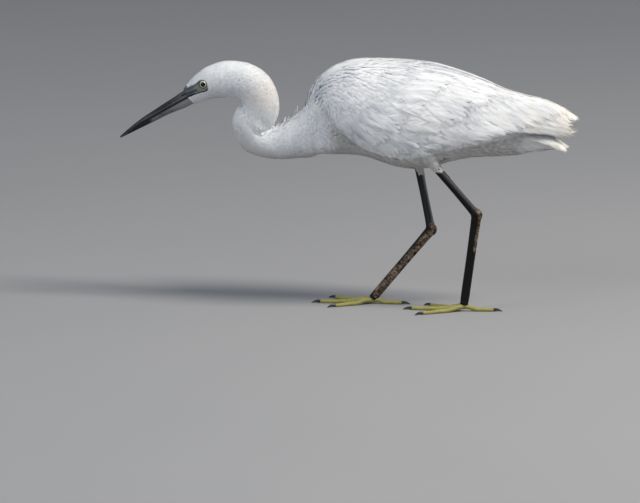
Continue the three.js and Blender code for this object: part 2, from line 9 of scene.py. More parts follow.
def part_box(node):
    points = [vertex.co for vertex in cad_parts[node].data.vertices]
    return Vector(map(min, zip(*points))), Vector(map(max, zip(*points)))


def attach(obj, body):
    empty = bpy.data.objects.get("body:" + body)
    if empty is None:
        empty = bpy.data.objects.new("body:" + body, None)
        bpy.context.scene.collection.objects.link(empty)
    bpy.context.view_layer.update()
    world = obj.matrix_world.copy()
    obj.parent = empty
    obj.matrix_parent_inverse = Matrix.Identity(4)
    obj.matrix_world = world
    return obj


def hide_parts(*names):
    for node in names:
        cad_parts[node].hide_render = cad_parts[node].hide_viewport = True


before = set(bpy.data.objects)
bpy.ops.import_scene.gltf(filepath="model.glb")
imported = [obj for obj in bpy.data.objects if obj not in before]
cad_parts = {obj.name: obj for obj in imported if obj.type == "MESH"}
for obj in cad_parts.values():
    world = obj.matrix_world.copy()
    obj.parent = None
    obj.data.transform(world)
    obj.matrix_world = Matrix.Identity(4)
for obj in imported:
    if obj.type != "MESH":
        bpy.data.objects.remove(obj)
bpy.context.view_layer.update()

# The bird is drawn in its own millimetres: X = 0 between the legs, Z = 0 the ground, facing -X,
# its left side at -Y. row() turns them into the frame's metres.
MM = 0.001
EYE_AT = np.array([-238.6, 9.5, 233.2])
EYE_RADIUS = 4.5
eye_low, eye_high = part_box("eye_left")
SHIFT = np.array((eye_low + eye_high) / 2) / MM - EYE_AT * [1, -1, 1]
SIDES = {"left": -1, "right": 1}


def row(points):
    return (np.asarray(points, float) + SHIFT) * MM


# Numbers and curves

def smooth(keys):
    """A curve through [x, value] keys, without overshoot."""
    xs, values = np.array(keys, float).T
    slope = np.diff(values) / np.diff(xs)
    product = slope[:-1] * slope[1:]
    total = np.where(product > 0, slope[:-1] + slope[1:], 1)
    tangent = np.concatenate([slope[:1], np.where(product > 0, 2 * product / total, 0), slope[-1:]])

    def value(x):
        x = np.clip(x, xs[0], xs[-1])
        i = np.clip(np.searchsorted(xs, x, side="right") - 1, 0, len(xs) - 2)
        width = xs[i + 1] - xs[i]
        t = (x - xs[i]) / width
        rise = t * t * (3 - 2 * t)
        lead = tangent[i] * t * (1 - t) ** 2 * width
        trail = tangent[i + 1] * t * t * (t - 1) * width
        return values[i] * (1 - rise) + values[i + 1] * rise + lead + trail

    return value


def cubic(start, leaving, end, arriving, t):
    """A curve from start to end, by a share from 0 to 1, with its directions at both."""
    t2, t3 = t * t, t * t * t
    return ((2 * t3 - 3 * t2 + 1) * start + (t3 - 2 * t2 + t) * leaving
            + (3 * t2 - 2 * t3) * end + (t3 - t2) * arriving)


def path(points):
    """A smooth curve through points, by a share from 0 to 1."""
    points = np.asarray(points, float)
    padded = np.vstack([2 * points[0] - points[1], points, 2 * points[-1] - points[-2]])

    def value(t):
        t = np.clip(np.atleast_1d(np.asarray(t, float)), 0, 1) * (len(points) - 1)
        i = np.clip(np.floor(t).astype(int), 0, len(points) - 2)
        p0, p1, p2, p3 = (padded[i + k] for k in range(4))
        d0, d1, d2 = (np.sqrt(np.linalg.norm(b - a, axis=1))[:, None]
                      for a, b in ((p0, p1), (p1, p2), (p2, p3)))
        m1 = ((p1 - p0) / d0 - (p2 - p0) / (d0 + d1) + (p2 - p1) / d1) * d1
        m2 = ((p2 - p1) / d1 - (p3 - p1) / (d1 + d2) + (p3 - p2) / d2) * d1
        return cubic(p1, m1, p2, m2, (t - i)[:, None])

    return value


def unit(v):
    return v / np.maximum(np.linalg.norm(v, axis=-1, keepdims=True), 1e-9)


def dots(a, b):
    return np.einsum("ij,ij->i", a, b)


def laid_on(directions, normals):
    """Directions turned into the surface that has these normals."""
    return unit(directions - normals * dots(directions, normals)[:, None])


def ramp(x, low, high):
    t = np.clip((np.asarray(x, float) - low) / (high - low), 0, 1)
    return t * t * (3 - 2 * t)


def window(x, start, full, fading, end):
    """0 up to start, 1 from full to fading, and 0 again from end on."""
    return ramp(x, start, full) * (1 - ramp(x, fading, end))


def mix(a, b, t):
    return a + (b - a) * t


def between(a, b, t):
    return tuple(mix(np.array(a, float), np.array(b, float), t))


def to_segment(start, end, x, z):
    """The share along a segment of the place nearest to (x, z), and the distance to that place."""
    (ax, az), (bx, bz) = start, end
    t = np.clip(((x - ax) * (bx - ax) + (z - az) * (bz - az)) / ((bx - ax) ** 2 + (bz - az) ** 2), 0, 1)
    return t, np.hypot(x - ax - (bx - ax) * t, z - az - (bz - az) * t)


# Meshes

def add_object(name, data):
    obj = bpy.data.objects.new(name, data)
    bpy.context.scene.collection.objects.link(obj)
    return obj


def mesh_object(name, points, faces, look=None, *, maps=None, values=None, normals=None):
    """A mesh from points in millimetres and a list of faces for each number of corners. maps are UV maps,
    values are numbers per point, and normals are shading normals per point."""
    mesh = bpy.data.meshes.new(name)
    groups = [np.asarray(group, np.int32) for group in faces]
    corners = np.concatenate([g.ravel() for g in groups])
    totals = np.concatenate([np.full(len(g), g.shape[1], np.int32) for g in groups])
    starts = np.concatenate([[0], np.cumsum(totals)[:-1]]).astype(np.int32)
    mesh.vertices.add(len(points))
    mesh.vertices.foreach_set("co", row(points).astype(np.float32).ravel())
    mesh.loops.add(len(corners))
    mesh.loops.foreach_set("vertex_index", corners)
    mesh.polygons.add(len(totals))
    mesh.polygons.foreach_set("loop_start", starts)
    mesh.polygons.foreach_set("loop_total", totals)
    for map_name, uv in (maps or {}).items():
        layer = mesh.uv_layers.new(name=map_name)
        layer.data.foreach_set("uv", np.asarray(uv, np.float32)[corners].ravel())
    for value_name, numbers in (values or {}).items():
        field = mesh.attributes.new(value_name, "FLOAT", "POINT")
        field.data.foreach_set("value", np.asarray(numbers, np.float32))
    if look:
        mesh.materials.append(look)
    mesh.update(calc_edges=True)
    mesh.validate()
    mesh.polygons.foreach_set("use_smooth", np.ones(len(mesh.polygons), bool))
    if normals is not None:
        mesh.normals_split_custom_set_from_vertices(unit(np.asarray(normals, float)))
    return add_object(name, mesh)


def piece(obj, slot, *nodes):
    """Puts a piece on the bird: it rides on the body and stands for the nodes named."""
    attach(obj, "root")
    if nodes:
        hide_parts(*nodes)


def loft(rings):
    """A closed skin from rings of points, each with the same count, with a fan at each end."""
    rings = np.asarray(rings, float)
    steps, count = rings.shape[:2]
    points = np.vstack([rings.reshape(-1, 3), rings[0].mean(0), rings[-1].mean(0)])
    j, k = np.meshgrid(np.arange(steps - 1), np.arange(count), indexing="ij")
    a = (j * count + k).ravel()
    b = (j * count + (k + 1) % count).ravel()
    quads = np.stack([a, b, b + count, a + count], 1)
    ring = np.arange(count)
    last = (steps - 1) * count
    front = np.stack([np.full(count, steps * count), (ring + 1) % count, ring], 1)
    back = np.stack([np.full(count, steps * count + 1), last + ring, last + (ring + 1) % count], 1)
    return points, [quads, np.vstack([front, back])]


def outward(points, faces):
    """Turns a closed skin right side out."""
    volume = 0
    for group in faces:
        for k in range(1, group.shape[1] - 1):
            a, b, c = (points[group[:, i]] for i in (0, k, k + 1))
            volume += np.einsum("ij,ij->", a, np.cross(b, c))
    return faces if volume > 0 else [group[:, ::-1] for group in faces]


def merged(parts):
    """Several (points, faces) as one."""
    points, quads, tris, base = [], [], [], 0
    for part_points, part_faces in parts:
        for group in outward(part_points, part_faces):
            (quads if group.shape[1] == 4 else tris).append(group + base)
        points.append(part_points)
        base += len(part_points)
    return np.vstack(points), [np.vstack(g) for g in (quads, tris) if g]


def stacked(parts):
    """Points and faces of several (points, faces, ...) as one."""
    bases = np.cumsum([0] + [len(part[0]) for part in parts[:-1]])
    faces = [part[1] + base for part, base in zip(parts, bases)]
    return np.vstack([part[0] for part in parts]), np.vstack(faces)


# The body's forms, as in the solids. In front the wings follow the trunk.
FRONT_TOP = [[-131, 214], [-127, 230], [-118, 242], [-107, 251.5], [-91, 259.5]]
FRONT_LOW = [
    [-131, 196], [-127, 176], [-118, 163], [-107, 160], [-91, 160.5], [-74, 160], [-62, 157.5], [-48, 152.5],
    [-31, 148], [-16, 146.5], [5, 149.5], [19, 155]]
FRONT_HALF_WIDTH = [
    [-131, 4], [-126, 12], [-118, 20.5], [-107, 28.5], [-95, 33.5], [-80, 37.5], [-60, 39.5], [-20, 39],
    [5, 36.5]]
TRUNK_TOP = smooth(FRONT_TOP + [
    [-74, 263.2], [-48, 263.5], [-23, 261.5], [3, 258.5], [19, 253.5], [40, 245], [61, 235], [82, 222.5],
    [103, 206], [120, 189], [130, 179.5]])
TRUNK_LOW = smooth(FRONT_LOW + [[51, 161], [82, 162.5], [111, 167.5], [130, 172.5]])
TRUNK_HALF_WIDTH = smooth(FRONT_HALF_WIDTH + [[40, 30], [80, 17.5], [100, 11], [115, 7.5], [130, 4.5]])
TRUNK_ENDS = (-131, 130)
BACK_NARROWING = 0.12
WING_TOP = smooth(FRONT_TOP + [
    [-74, 262.7], [-48, 262.5], [-23, 260.5], [3, 257.5], [19, 253.5], [40, 247], [61, 239], [82, 231],
    [103, 225.5], [120, 222], [140, 213.5], [158, 203]])
WING_LOW = smooth(FRONT_LOW + [[51, 160], [82, 163], [103, 168], [120, 172], [140, 176], [158, 182]])
WING_HALF_WIDTH = smooth(FRONT_HALF_WIDTH + [
    [40, 31], [61, 27], [82, 22.5], [103, 17.5], [120, 13.5], [140, 9.5], [158, 6.5]])
WING_UPPER_EDGE = smooth([
    [-123, 66], [-119, 50], [-112, 39], [-95, 28], [-60, 18], [-20, 5], [20, 2], [160, 2]])
WING_LOWER_EDGE = smooth([
    [-123, 70], [-119, 84], [-112, 94], [-100, 105], [-85, 122], [-64, 136], [-32, 129], [7, 120], [46, 118],
    [62, 109], [90, 98], [130, 104], [160, 110]])
WING_CORE_ENDS = (-123, 104)
WING_CORE_THICK = smooth([
    [-123, .5], [-117, 2], [-107, 3.6], [-92, 4.6], [-60, 4.6], [-10, 3.6], [40, 2.2], [104, 1]])
WING_CORE_RIM = smooth([[0, .25], [.16, 1], [.6, 1], [.88, .5], [1, .2]])
WING_CORE_INSIDE = 9
CORE_REACH = smooth([[-122, 1], [-40, .97], [20, .9], [104, .8]])

# Stations of the neck and head: place, half-height, half-width
LOWER_NECK = [
    ((-185, 0, 206), 12, 9), ((-188.5, 0, 199), 19, 13.5), ((-190, 0, 189), 20, 14.5),
    ((-185.5, 0, 177.5), 18.6, 14.5), ((-172, 0, 171.5), 16.8, 14.5), ((-155, 0, 172.5), 18.9, 15.5),
    ((-140, 0, 177.4), 21.8, 17.5), ((-121, 0, 187.5), 25.5, 21), ((-102, 0, 201), 33, 27)]
UPPER_NECK = [
    ((-206, 0, 237.4), 19.6, 15.6), ((-198, 0, 236), 20, 15.8), ((-187, 0, 229.5), 20.2, 15.4),
    ((-180.5, 0, 218.5), 19.8, 14.8), ((-179.5, 0, 206.5), 19.8, 14.4), ((-184, 0, 195), 18.6, 13.6),
    ((-189, 0, 187), 15.5, 12)]
HEAD = [
    ((-256.6, 0, 217.6), 9.8, 6.6), ((-248.5, 0, 223.6), 13.2, 9.4), ((-239.6, 0, 229.4), 15.6, 12.2),
    ((-228.5, 0, 234.6), 18, 14.6), ((-215, 0, 237.5), 19.6, 15.8), ((-204, 0, 237.2), 19.8, 15.8)]
THIGHS = {
    "left": [((-16, -23, 186), 20, 12), ((-5, -23, 170), 14, 11), ((3, -22, 160), 9.5, 8.5),
             ((7.5, -21.5, 153.3), 5.4, 5.0)],
    "right": [((-22, 23, 180), 18, 12), ((-19, 23, 165), 12, 10.5), ((-16.5, 22.5, 152), 8, 7.5),
              ((-15, 22, 144.5), 5.2, 4.9)]}
HEELS = {"left": (51.3, -21, 102.8), "right": (-1.6, 21, 79)}
# The flesh runs on this far inside the shank, under the feathers that hang over it
THIGH_RUN_ON = 0.32
THIGH_RUN_ON_SIZE = 5.1
BALLS = {"left": (38.4, -21, 7.5), "right": (-62.2, 9, 6)}
HEADINGS = {"left": 0, "right": 4}

# How deep the coat is over each form of the skin
COAT = {"head": 0.6, "neck_top": 0.95, "neck_low": 0.95, "trunk": 2.4, "thigh_left": 1.4, "thigh_right": 1.4,
        "wing": 2.0}


class Limb:
    """A form along a path: its centre line, its half-sizes, and its directions at each share."""

    def __init__(self, stations):
        last = len(stations) - 1
        self.place = path([s[0] for s in stations])
        self.tall = smooth([[i / last, s[1]] for i, s in enumerate(stations)])
        self.wide = smooth([[i / last, s[2]] for i, s in enumerate(stations)])

    def axes(self, t):
        t = np.atleast_1d(t)
        along = unit(self.place(np.minimum(t + 0.004, 1)) - self.place(np.maximum(t - 0.004, 0)))
        across = unit(np.array([0, 1, 0]) - along * along[:, 1:2])
        return along, across, np.cross(along, across)

    def rings(self, steps, sides, grow=0):
        t = np.linspace(0, 1, steps + 1)
        angle = np.linspace(0, 2 * math.pi, sides, endpoint=False)
        _, across, up = self.axes(t)
        tall = (self.tall(t) + grow)[:, None, None]
        wide = (self.wide(t) + grow)[:, None, None]
        cos, sin = np.cos(angle)[None, :, None], np.sin(angle)[None, :, None]
        return self.place(t)[:, None] + up[:, None] * tall * cos + across[:, None] * wide * sin


def section(top, low, width, x, angle, grow):
    """A point of an egg-shaped section across the body, its angle in radians from the ridge of the back."""
    high, deep = top(x) + grow, low(x) - grow
    egg = 1 - BACK_NARROWING * np.cos(angle)
    return np.stack([
        x + 0 * angle,
        (width(x) + grow) * np.sin(angle) * egg,
        (high + deep) / 2 + (high - deep) / 2 * np.cos(angle)], -1)


def trunk_rings(grow):
    front, rear = TRUNK_ENDS
    t = np.linspace(0, 1, 60)
    eased = np.where(t < 0.25, t * t * 2 + t * 0.5, t)
    x = front - grow + (rear - front + 2 * grow) * eased
    angle = np.linspace(0, 2 * math.pi, 48, endpoint=False)
    return section(TRUNK_TOP, TRUNK_LOW, TRUNK_HALF_WIDTH, x[:, None], angle[None], grow)


def wing_point(side, x, degrees, height):
    point = section(WING_TOP, WING_LOW, WING_HALF_WIDTH, np.asarray(x, float), np.radians(degrees), height)
    return point * [1, side, 1]


def wing_angle(x, share):
    return mix(WING_UPPER_EDGE(x), WING_LOWER_EDGE(x), share)


def wing_core_rings(side, depth):
    front, rear = WING_CORE_ENDS
    t = np.linspace(0, 1, 40)[:, None]
    x = front + (rear - front) * t * (0.4 + 0.6 * t)
    share = np.linspace(0, 1, 20)[None]
    degrees = wing_angle(x, share * CORE_REACH(x))
    x = x + 0 * share
    outer = wing_point(side, x, degrees, WING_CORE_THICK(x) * WING_CORE_RIM(share) - depth)
    inner = wing_point(side, x, degrees, -WING_CORE_INSIDE + 0 * x)
    return np.concatenate([outer, inner[:, ::-1]], 1)


# Skin

def thigh(name):
    end = between(THIGHS[name][-1][0], HEELS[name], THIGH_RUN_ON)
    return Limb(THIGHS[name] + [(end, THIGH_RUN_ON_SIZE, THIGH_RUN_ON_SIZE)])


LIMBS = {
    "head": Limb(HEAD), "neck_top": Limb(UPPER_NECK), "neck_low": Limb(LOWER_NECK),
    "thigh_left": thigh("left"), "thigh_right": thigh("right")}
LIMB_STEPS, LIMB_SIDES = 60, 40
SKIN_VOXEL = 1.5


def remeshed(points, faces, voxel):
    """One closed even mesh round several that overlap, as points and quads in millimetres."""
    obj = mesh_object("draft", points, faces)
    modifier = obj.modifiers.new("remesh", "REMESH")
    modifier.mode = "VOXEL"
    modifier.voxel_size = voxel * MM
    bpy.context.view_layer.update()
    made = obj.evaluated_get(bpy.context.evaluated_depsgraph_get()).to_mesh()
    co = np.zeros(len(made.vertices) * 3, np.float32)
    made.vertices.foreach_get("co", co)
    corners = np.zeros(len(made.loops), np.int32)
    made.loops.foreach_get("vertex_index", corners)
    bpy.data.objects.remove(obj)
    return co.reshape(-1, 3).astype(float) / MM - SHIFT, corners.reshape(-1, 4)


class Surface:
    """A closed mesh of quads with its neighbours, normals and nearest-point search."""

    # Pushes towards the neighbours' mean: out and back again, or a single one that lets a step sink away
    EVEN = (0.6, -0.62)
    SINKING = (0.5,)

    def __init__(self, points, quads):
        self.points, self.quads = points, quads
        pairs = np.sort(np.vstack([quads[:, [i, (i + 1) % 4]] for i in range(4)]), 1)
        self.edges = np.unique(pairs, axis=0)
        self.degree = np.bincount(self.edges.ravel(), minlength=len(points))

    def mean(self, field):
        """Each vertex's neighbours' mean of a field."""
        a, b = self.edges.T
        total = np.zeros_like(field)
        for k in range(field.shape[1]):
            total[:, k] = (np.bincount(a, field[b, k], len(field)) + np.bincount(b, field[a, k], len(field)))
        return total / self.degree[:, None]

    def blurred(self, field, rounds):
        """A field after rounds in which each value moves half way to its neighbours' mean."""
        values = field.reshape(len(field), -1)
        for _ in range(rounds):
            values = mix(values, self.mean(values), 0.5)
        return values.reshape(field.shape)

    def relax(self, rounds, weight=1, pushes=EVEN):
        for _ in range(rounds):
            for push in pushes:
                self.points = self.points + (self.mean(self.points) - self.points) * push * weight

    def finish(self):
        p, q = self.points, self.quads
        face = np.cross(p[q[:, 2]] - p[q[:, 0]], p[q[:, 3]] - p[q[:, 1]])
        normal = np.zeros_like(p)
        for k in range(3):
            for corner in range(4):
                normal[:, k] += np.bincount(q[:, corner], face[:, k], len(p))
        self.normals = unit(normal)
        self.area = np.linalg.norm(face, axis=1) / 2
        self.tree = BVHTree.FromPolygons(p.tolist(), q.tolist())


# Creases of the skin, as lines seen from the side: where the upper neck comes down on the lower neck, where
# the wing's front edge lies over the neck's root, and the wing's lower border. over is the side that bulges
# over the other, 1 on the line's left. flank is where a crease begins beside the body's middle, ends where on
# its line it begins and ends.
CREASES = {
    "neck_fold": dict(
        line=[(-167, 190), (-170.5, 186.2), (-174.5, 183), (-178.2, 181.9), (-181.6, 183.2), (-184.4, 186.4),
              (-187, 190.8), (-189.6, 195.5)],
        over=-1, depth=0.8, width=1.8, swell=2.2, reach=6.5, flank=(2, 8), ends=(-1, 0, 0.6, 1)),
    "shoulder": dict(
        line=[(-116, 224), (-113, 216), (-105.6, 203.5), (-92, 192), (-76, 178), (-58, 168)],
        over=1, depth=2.4, width=9.5, swell=1.2, reach=11, flank=(8, 20), ends=(0, 0.25, 0.7, 1)),
    "wing_border": dict(
        line=[(-104, 202), (-92, 191), (-76, 178), (-58, 168.5), (-44, 164), (-30, 162)],
        over=1, depth=2.0, width=2.6, swell=2.6, reach=6, flank=(8, 16), ends=(0, 0.3, 0.85, 1))}
# The breast fills the corner under the neck's root
BREAST = dict(at=-124, reach=11, fill=3.0)


def along_line(line, x, z):
    """Distance to a broken line, the share along it, and which side (above zero on its left)."""
    line = np.array(line, float)
    nearest = np.full(len(x), 1e9)
    share, hand = np.zeros(len(x)), np.zeros(len(x))
    steps = len(line) - 1
    for i, (start, end) in enumerate(zip(line, line[1:])):
        t, away = to_segment(start, end, x, z)
        closer = away < nearest
        nearest[closer] = away[closer]
        share[closer] = (i + t[closer]) / steps
        hand[closer] = ((end - start)[0] * (z - start[1]) - (end - start)[1] * (x - start[0]))[closer]
    return nearest, share, np.sign(hand)


def crease(surface, line, over, depth, width, swell, reach, flank, ends):
    x, y, z = surface.points.T
    away, share, hand = along_line(line, x, z)
    weight = ramp(np.abs(y), *flank) * window(share, *ends)
    under = hand * over * away
    groove = -depth * np.exp(-(away / width) ** 2) * (1 - 0.6 * ramp(under, 0, width))
    bulge = swell * np.exp(-(away / reach) ** 2) * ramp(under, -0.8, 1.4)
    surface.points = surface.points + surface.normals * ((groove + bulge) * weight)[:, None]


def skin_surface():
    parts = [loft(trunk_rings(-COAT["trunk"]))]
    parts += [loft(limb.rings(LIMB_STEPS, LIMB_SIDES, -COAT[name])) for name, limb in LIMBS.items()]
    parts += [loft(wing_core_rings(side, COAT["wing"])) for side in SIDES.values()]
    surface = Surface(*remeshed(*merged(parts), SKIN_VOXEL))
    surface.relax(6)
    x, _, z = surface.points.T
    # the wings run into shoulder and back, and the thighs into the flanks, without a step
    shoulder = window(x, -150, -135, -60, -10) * 0.9
    surface.relax(14, shoulder[:, None], Surface.SINKING)
    flank = window(x, -48, -34, 6, 20) * window(z, 152, 160, 178, 192)
    surface.relax(10, flank[:, None], Surface.SINKING)
    surface.relax(2, 1, Surface.SINKING)
    surface.finish()
    breast = np.exp(-((surface.points[:, 0] - BREAST["at"]) / BREAST["reach"]) ** 2)
    breast *= ramp(-surface.normals[:, 2], 0.2, 0.8)
    surface.points = surface.points + surface.normals * BREAST["fill"] * breast[:, None]
    for spec in CREASES.values():
        surface.finish()
        crease(surface, **spec)
    surface.relax(1, 1, Surface.SINKING)
    surface.finish()
    return surface


skin = skin_surface()


# Where each vertex of the skin lies along and round its form, and the lie of its feathers

UNWRAP = {"head": (0, .12), "neck_top": (.12, .26), "neck_low": (.26, .46), "trunk": (.46, .9),
          "thigh_left": (.9, .945), "thigh_right": (.955, 1)}
UNWRAP_FILL = 0.98


def unwrapped(name, share, angle):
    """Places on the skin's unwrap, from a share along a form and an angle round it in radians."""
    start, end = UNWRAP[name]
    return start + (end - start) * share * UNWRAP_FILL, 0.5 + angle / (2 * math.pi) * UNWRAP_FILL


def limb_place(limb, points):
    """Share along a limb, angle round it, its direction, and how far out a point lies (1 at its surface)."""
    t = np.linspace(0, 1, 60)
    centre = limb.place(t)
    along, across, up = limb.axes(t)
    size = (limb.tall(t) + limb.wide(t)) / 2
    best = np.full(len(points), 1e9)
    which = np.zeros(len(points), int)
    for i in range(len(t)):
        offset = points - centre[i]
        out = np.sqrt((offset @ up[i] / limb.tall(t[i])) ** 2 + (offset @ across[i] / limb.wide(t[i])) ** 2
                      + (offset @ along[i] / (0.25 * size[i])) ** 2)
        nearer = out < best
        best[nearer] = out[nearer]
        which[nearer] = i
    offset = points - centre[which]
    high = dots(offset, up[which]) / limb.tall(t[which])
    wide = dots(offset, across[which]) / limb.wide(t[which])
    return t[which], np.arctan2(wide, high), along[which], best


def half_way(z, top, low):
    """Height in a section: 1 at its top, -1 at its bottom."""
    return (z - (top + low) / 2) / ((top - low) / 2)


def trunk_place(points):
    x, y, z = points.T
    inside = np.clip(x, *TRUNK_ENDS)
    high = half_way(z, TRUNK_TOP(inside), TRUNK_LOW(inside))
    wide = y / TRUNK_HALF_WIDTH(inside)
    share = (inside - TRUNK_ENDS[0]) / (TRUNK_ENDS[1] - TRUNK_ENDS[0])
    along = np.tile([1.0, 0, 0], (len(points), 1))
    return share, np.arctan2(wide, high), along, np.sqrt(high ** 2 + wide ** 2 + ((x - inside) / 10) ** 2)


def share_across_wing(x, degrees):
    return (degrees - WING_UPPER_EDGE(x)) / (WING_LOWER_EDGE(x) - WING_UPPER_EDGE(x))


def wing_place(points):
    """Share of the way across the wing from its upper edge, and whether it is on the wing."""
    x, y, z = points.T
    high = half_way(z, WING_TOP(x), WING_LOW(x))
    egg = 1 - BACK_NARROWING * np.clip(high, -1, 1)
    wide = np.abs(y) / (WING_HALF_WIDTH(x) * egg)
    share = share_across_wing(x, np.degrees(np.arctan2(wide, high)))
    return share, window(x, -124, -112, 100, 112) * window(share, -0.12, 0.05, 0.94, 1.03)


# The lie of the wing's small feathers: degrees below the body's line, seen from the side
WING_LIE = smooth([[0, 8], [0.15, 16], [0.4, 38], [0.7, 50], [1, 50]])
WING_LIE_REAR = smooth([[-120, 0.6], [-90, 1], [20, 1], [80, 0.6], [120, 0.45]])
WING_BORDER_LIE = smooth([[-120, 35], [-90, 40], [-64, 30], [-40, 13], [0, 8], [120, 4]])


def skin_fields(points, normals):
    places = {name: limb_place(limb, points) for name, limb in LIMBS.items()}
    places["trunk"] = trunk_place(points)
    names = list(places)
    out = np.stack([places[n][3] for n in names], 1)
    part = out.argmin(1)
    weight = np.exp(-(out - out.min(1, keepdims=True)) * 9)
    weight /= weight.sum(1, keepdims=True)
    lie = sum(places[n][2] * weight[:, [i]] for i, n in enumerate(names))
    uv = np.zeros((len(points), 2))
    for i, name in enumerate(names):
        here = part == i
        uv[here] = np.stack(unwrapped(name, places[name][0][here], places[name][1][here]), 1)
    share, on = wing_place(points)
    droop = WING_LIE(share) * WING_LIE_REAR(points[:, 0])
    droop = np.radians(mix(droop, WING_BORDER_LIE(points[:, 0]), ramp(share, 0.72, 0.98)))[:, None]
    down = np.cross(normals, lie)
    down *= -np.sign(down[:, 2:3])
    wing_lie = lie * np.cos(droop) + unit(down) * np.sin(droop)
    lie = laid_on(mix(lie, wing_lie, on[:, None]), normals)
    return {"part": part, "names": names, "lie": lie, "uv": uv, "wing": on, "share": share}


fields = skin_fields(skin.points, skin.normals)
fields["lie"] = laid_on(skin.blurred(fields["lie"], 24), skin.normals)

# The bare face, seen from the side: from the bill round the eye and back along the mouth
BARE_FACE = np.array([
    (-270, 236), (-259, 231.5), (-255.8, 228.7), (-253.5, 230.2), (-248.2, 232.6), (-244.8, 235.9),
    (-241.6, 237.9), (-237.8, 237.7), (-234.6, 235.2), (-233.2, 231), (-233.6, 227.2), (-235.5, 225.3),
    (-238.7, 224.6), (-242.9, 223.4), (-248.2, 221.1), (-253.5, 218.7), (-262, 215)])
GAPE = [(-260, 216.2), (-253.5, 219.3), (-248.2, 221.6), (-242.9, 223.9), (-238.7, 225), (-235.5, 225.8),
        (-233.9, 228.2)]
NOSTRIL_STRIPE = [(-262, 219.6), (-254, 223.2), (-246.4, 226.3)]
BROW_STRIPE = [(-256, 227), (-250, 230.6), (-244, 234.6)]


def inside_outline(outline, x, z):
    """Signed distance to an outline, above zero inside it."""
    nearest = np.full(len(x), 1e9)
    inside = np.zeros(len(x), bool)
    for start, end in zip(outline, np.roll(outline, -1, 0)):
        nearest = np.minimum(nearest, to_segment(start, end, x, z)[1])
        (ax, az), (bx, bz) = start, end
        crosses = (az > z) != (bz > z)
        inside ^= crosses & (x < (bx - ax) * (z - az) / (bz - az + 1e-12) + ax)
    return np.where(inside, nearest, -nearest)


def bareness(points):
    """1 on the bare skin of the face, 0 under feathers."""
    x, y, z = points.T
    beside_the_ridge = np.maximum(ramp(np.abs(y), 1.5, 3), ramp(-x, 256, 258))
    return ramp(inside_outline(BARE_FACE, x, z), -0.5, 0.5) * beside_the_ridge


fields["bare"] = bareness(skin.points)


# Materials

def place_mm(x, y, z):
    return tuple(row([x, y, z]))


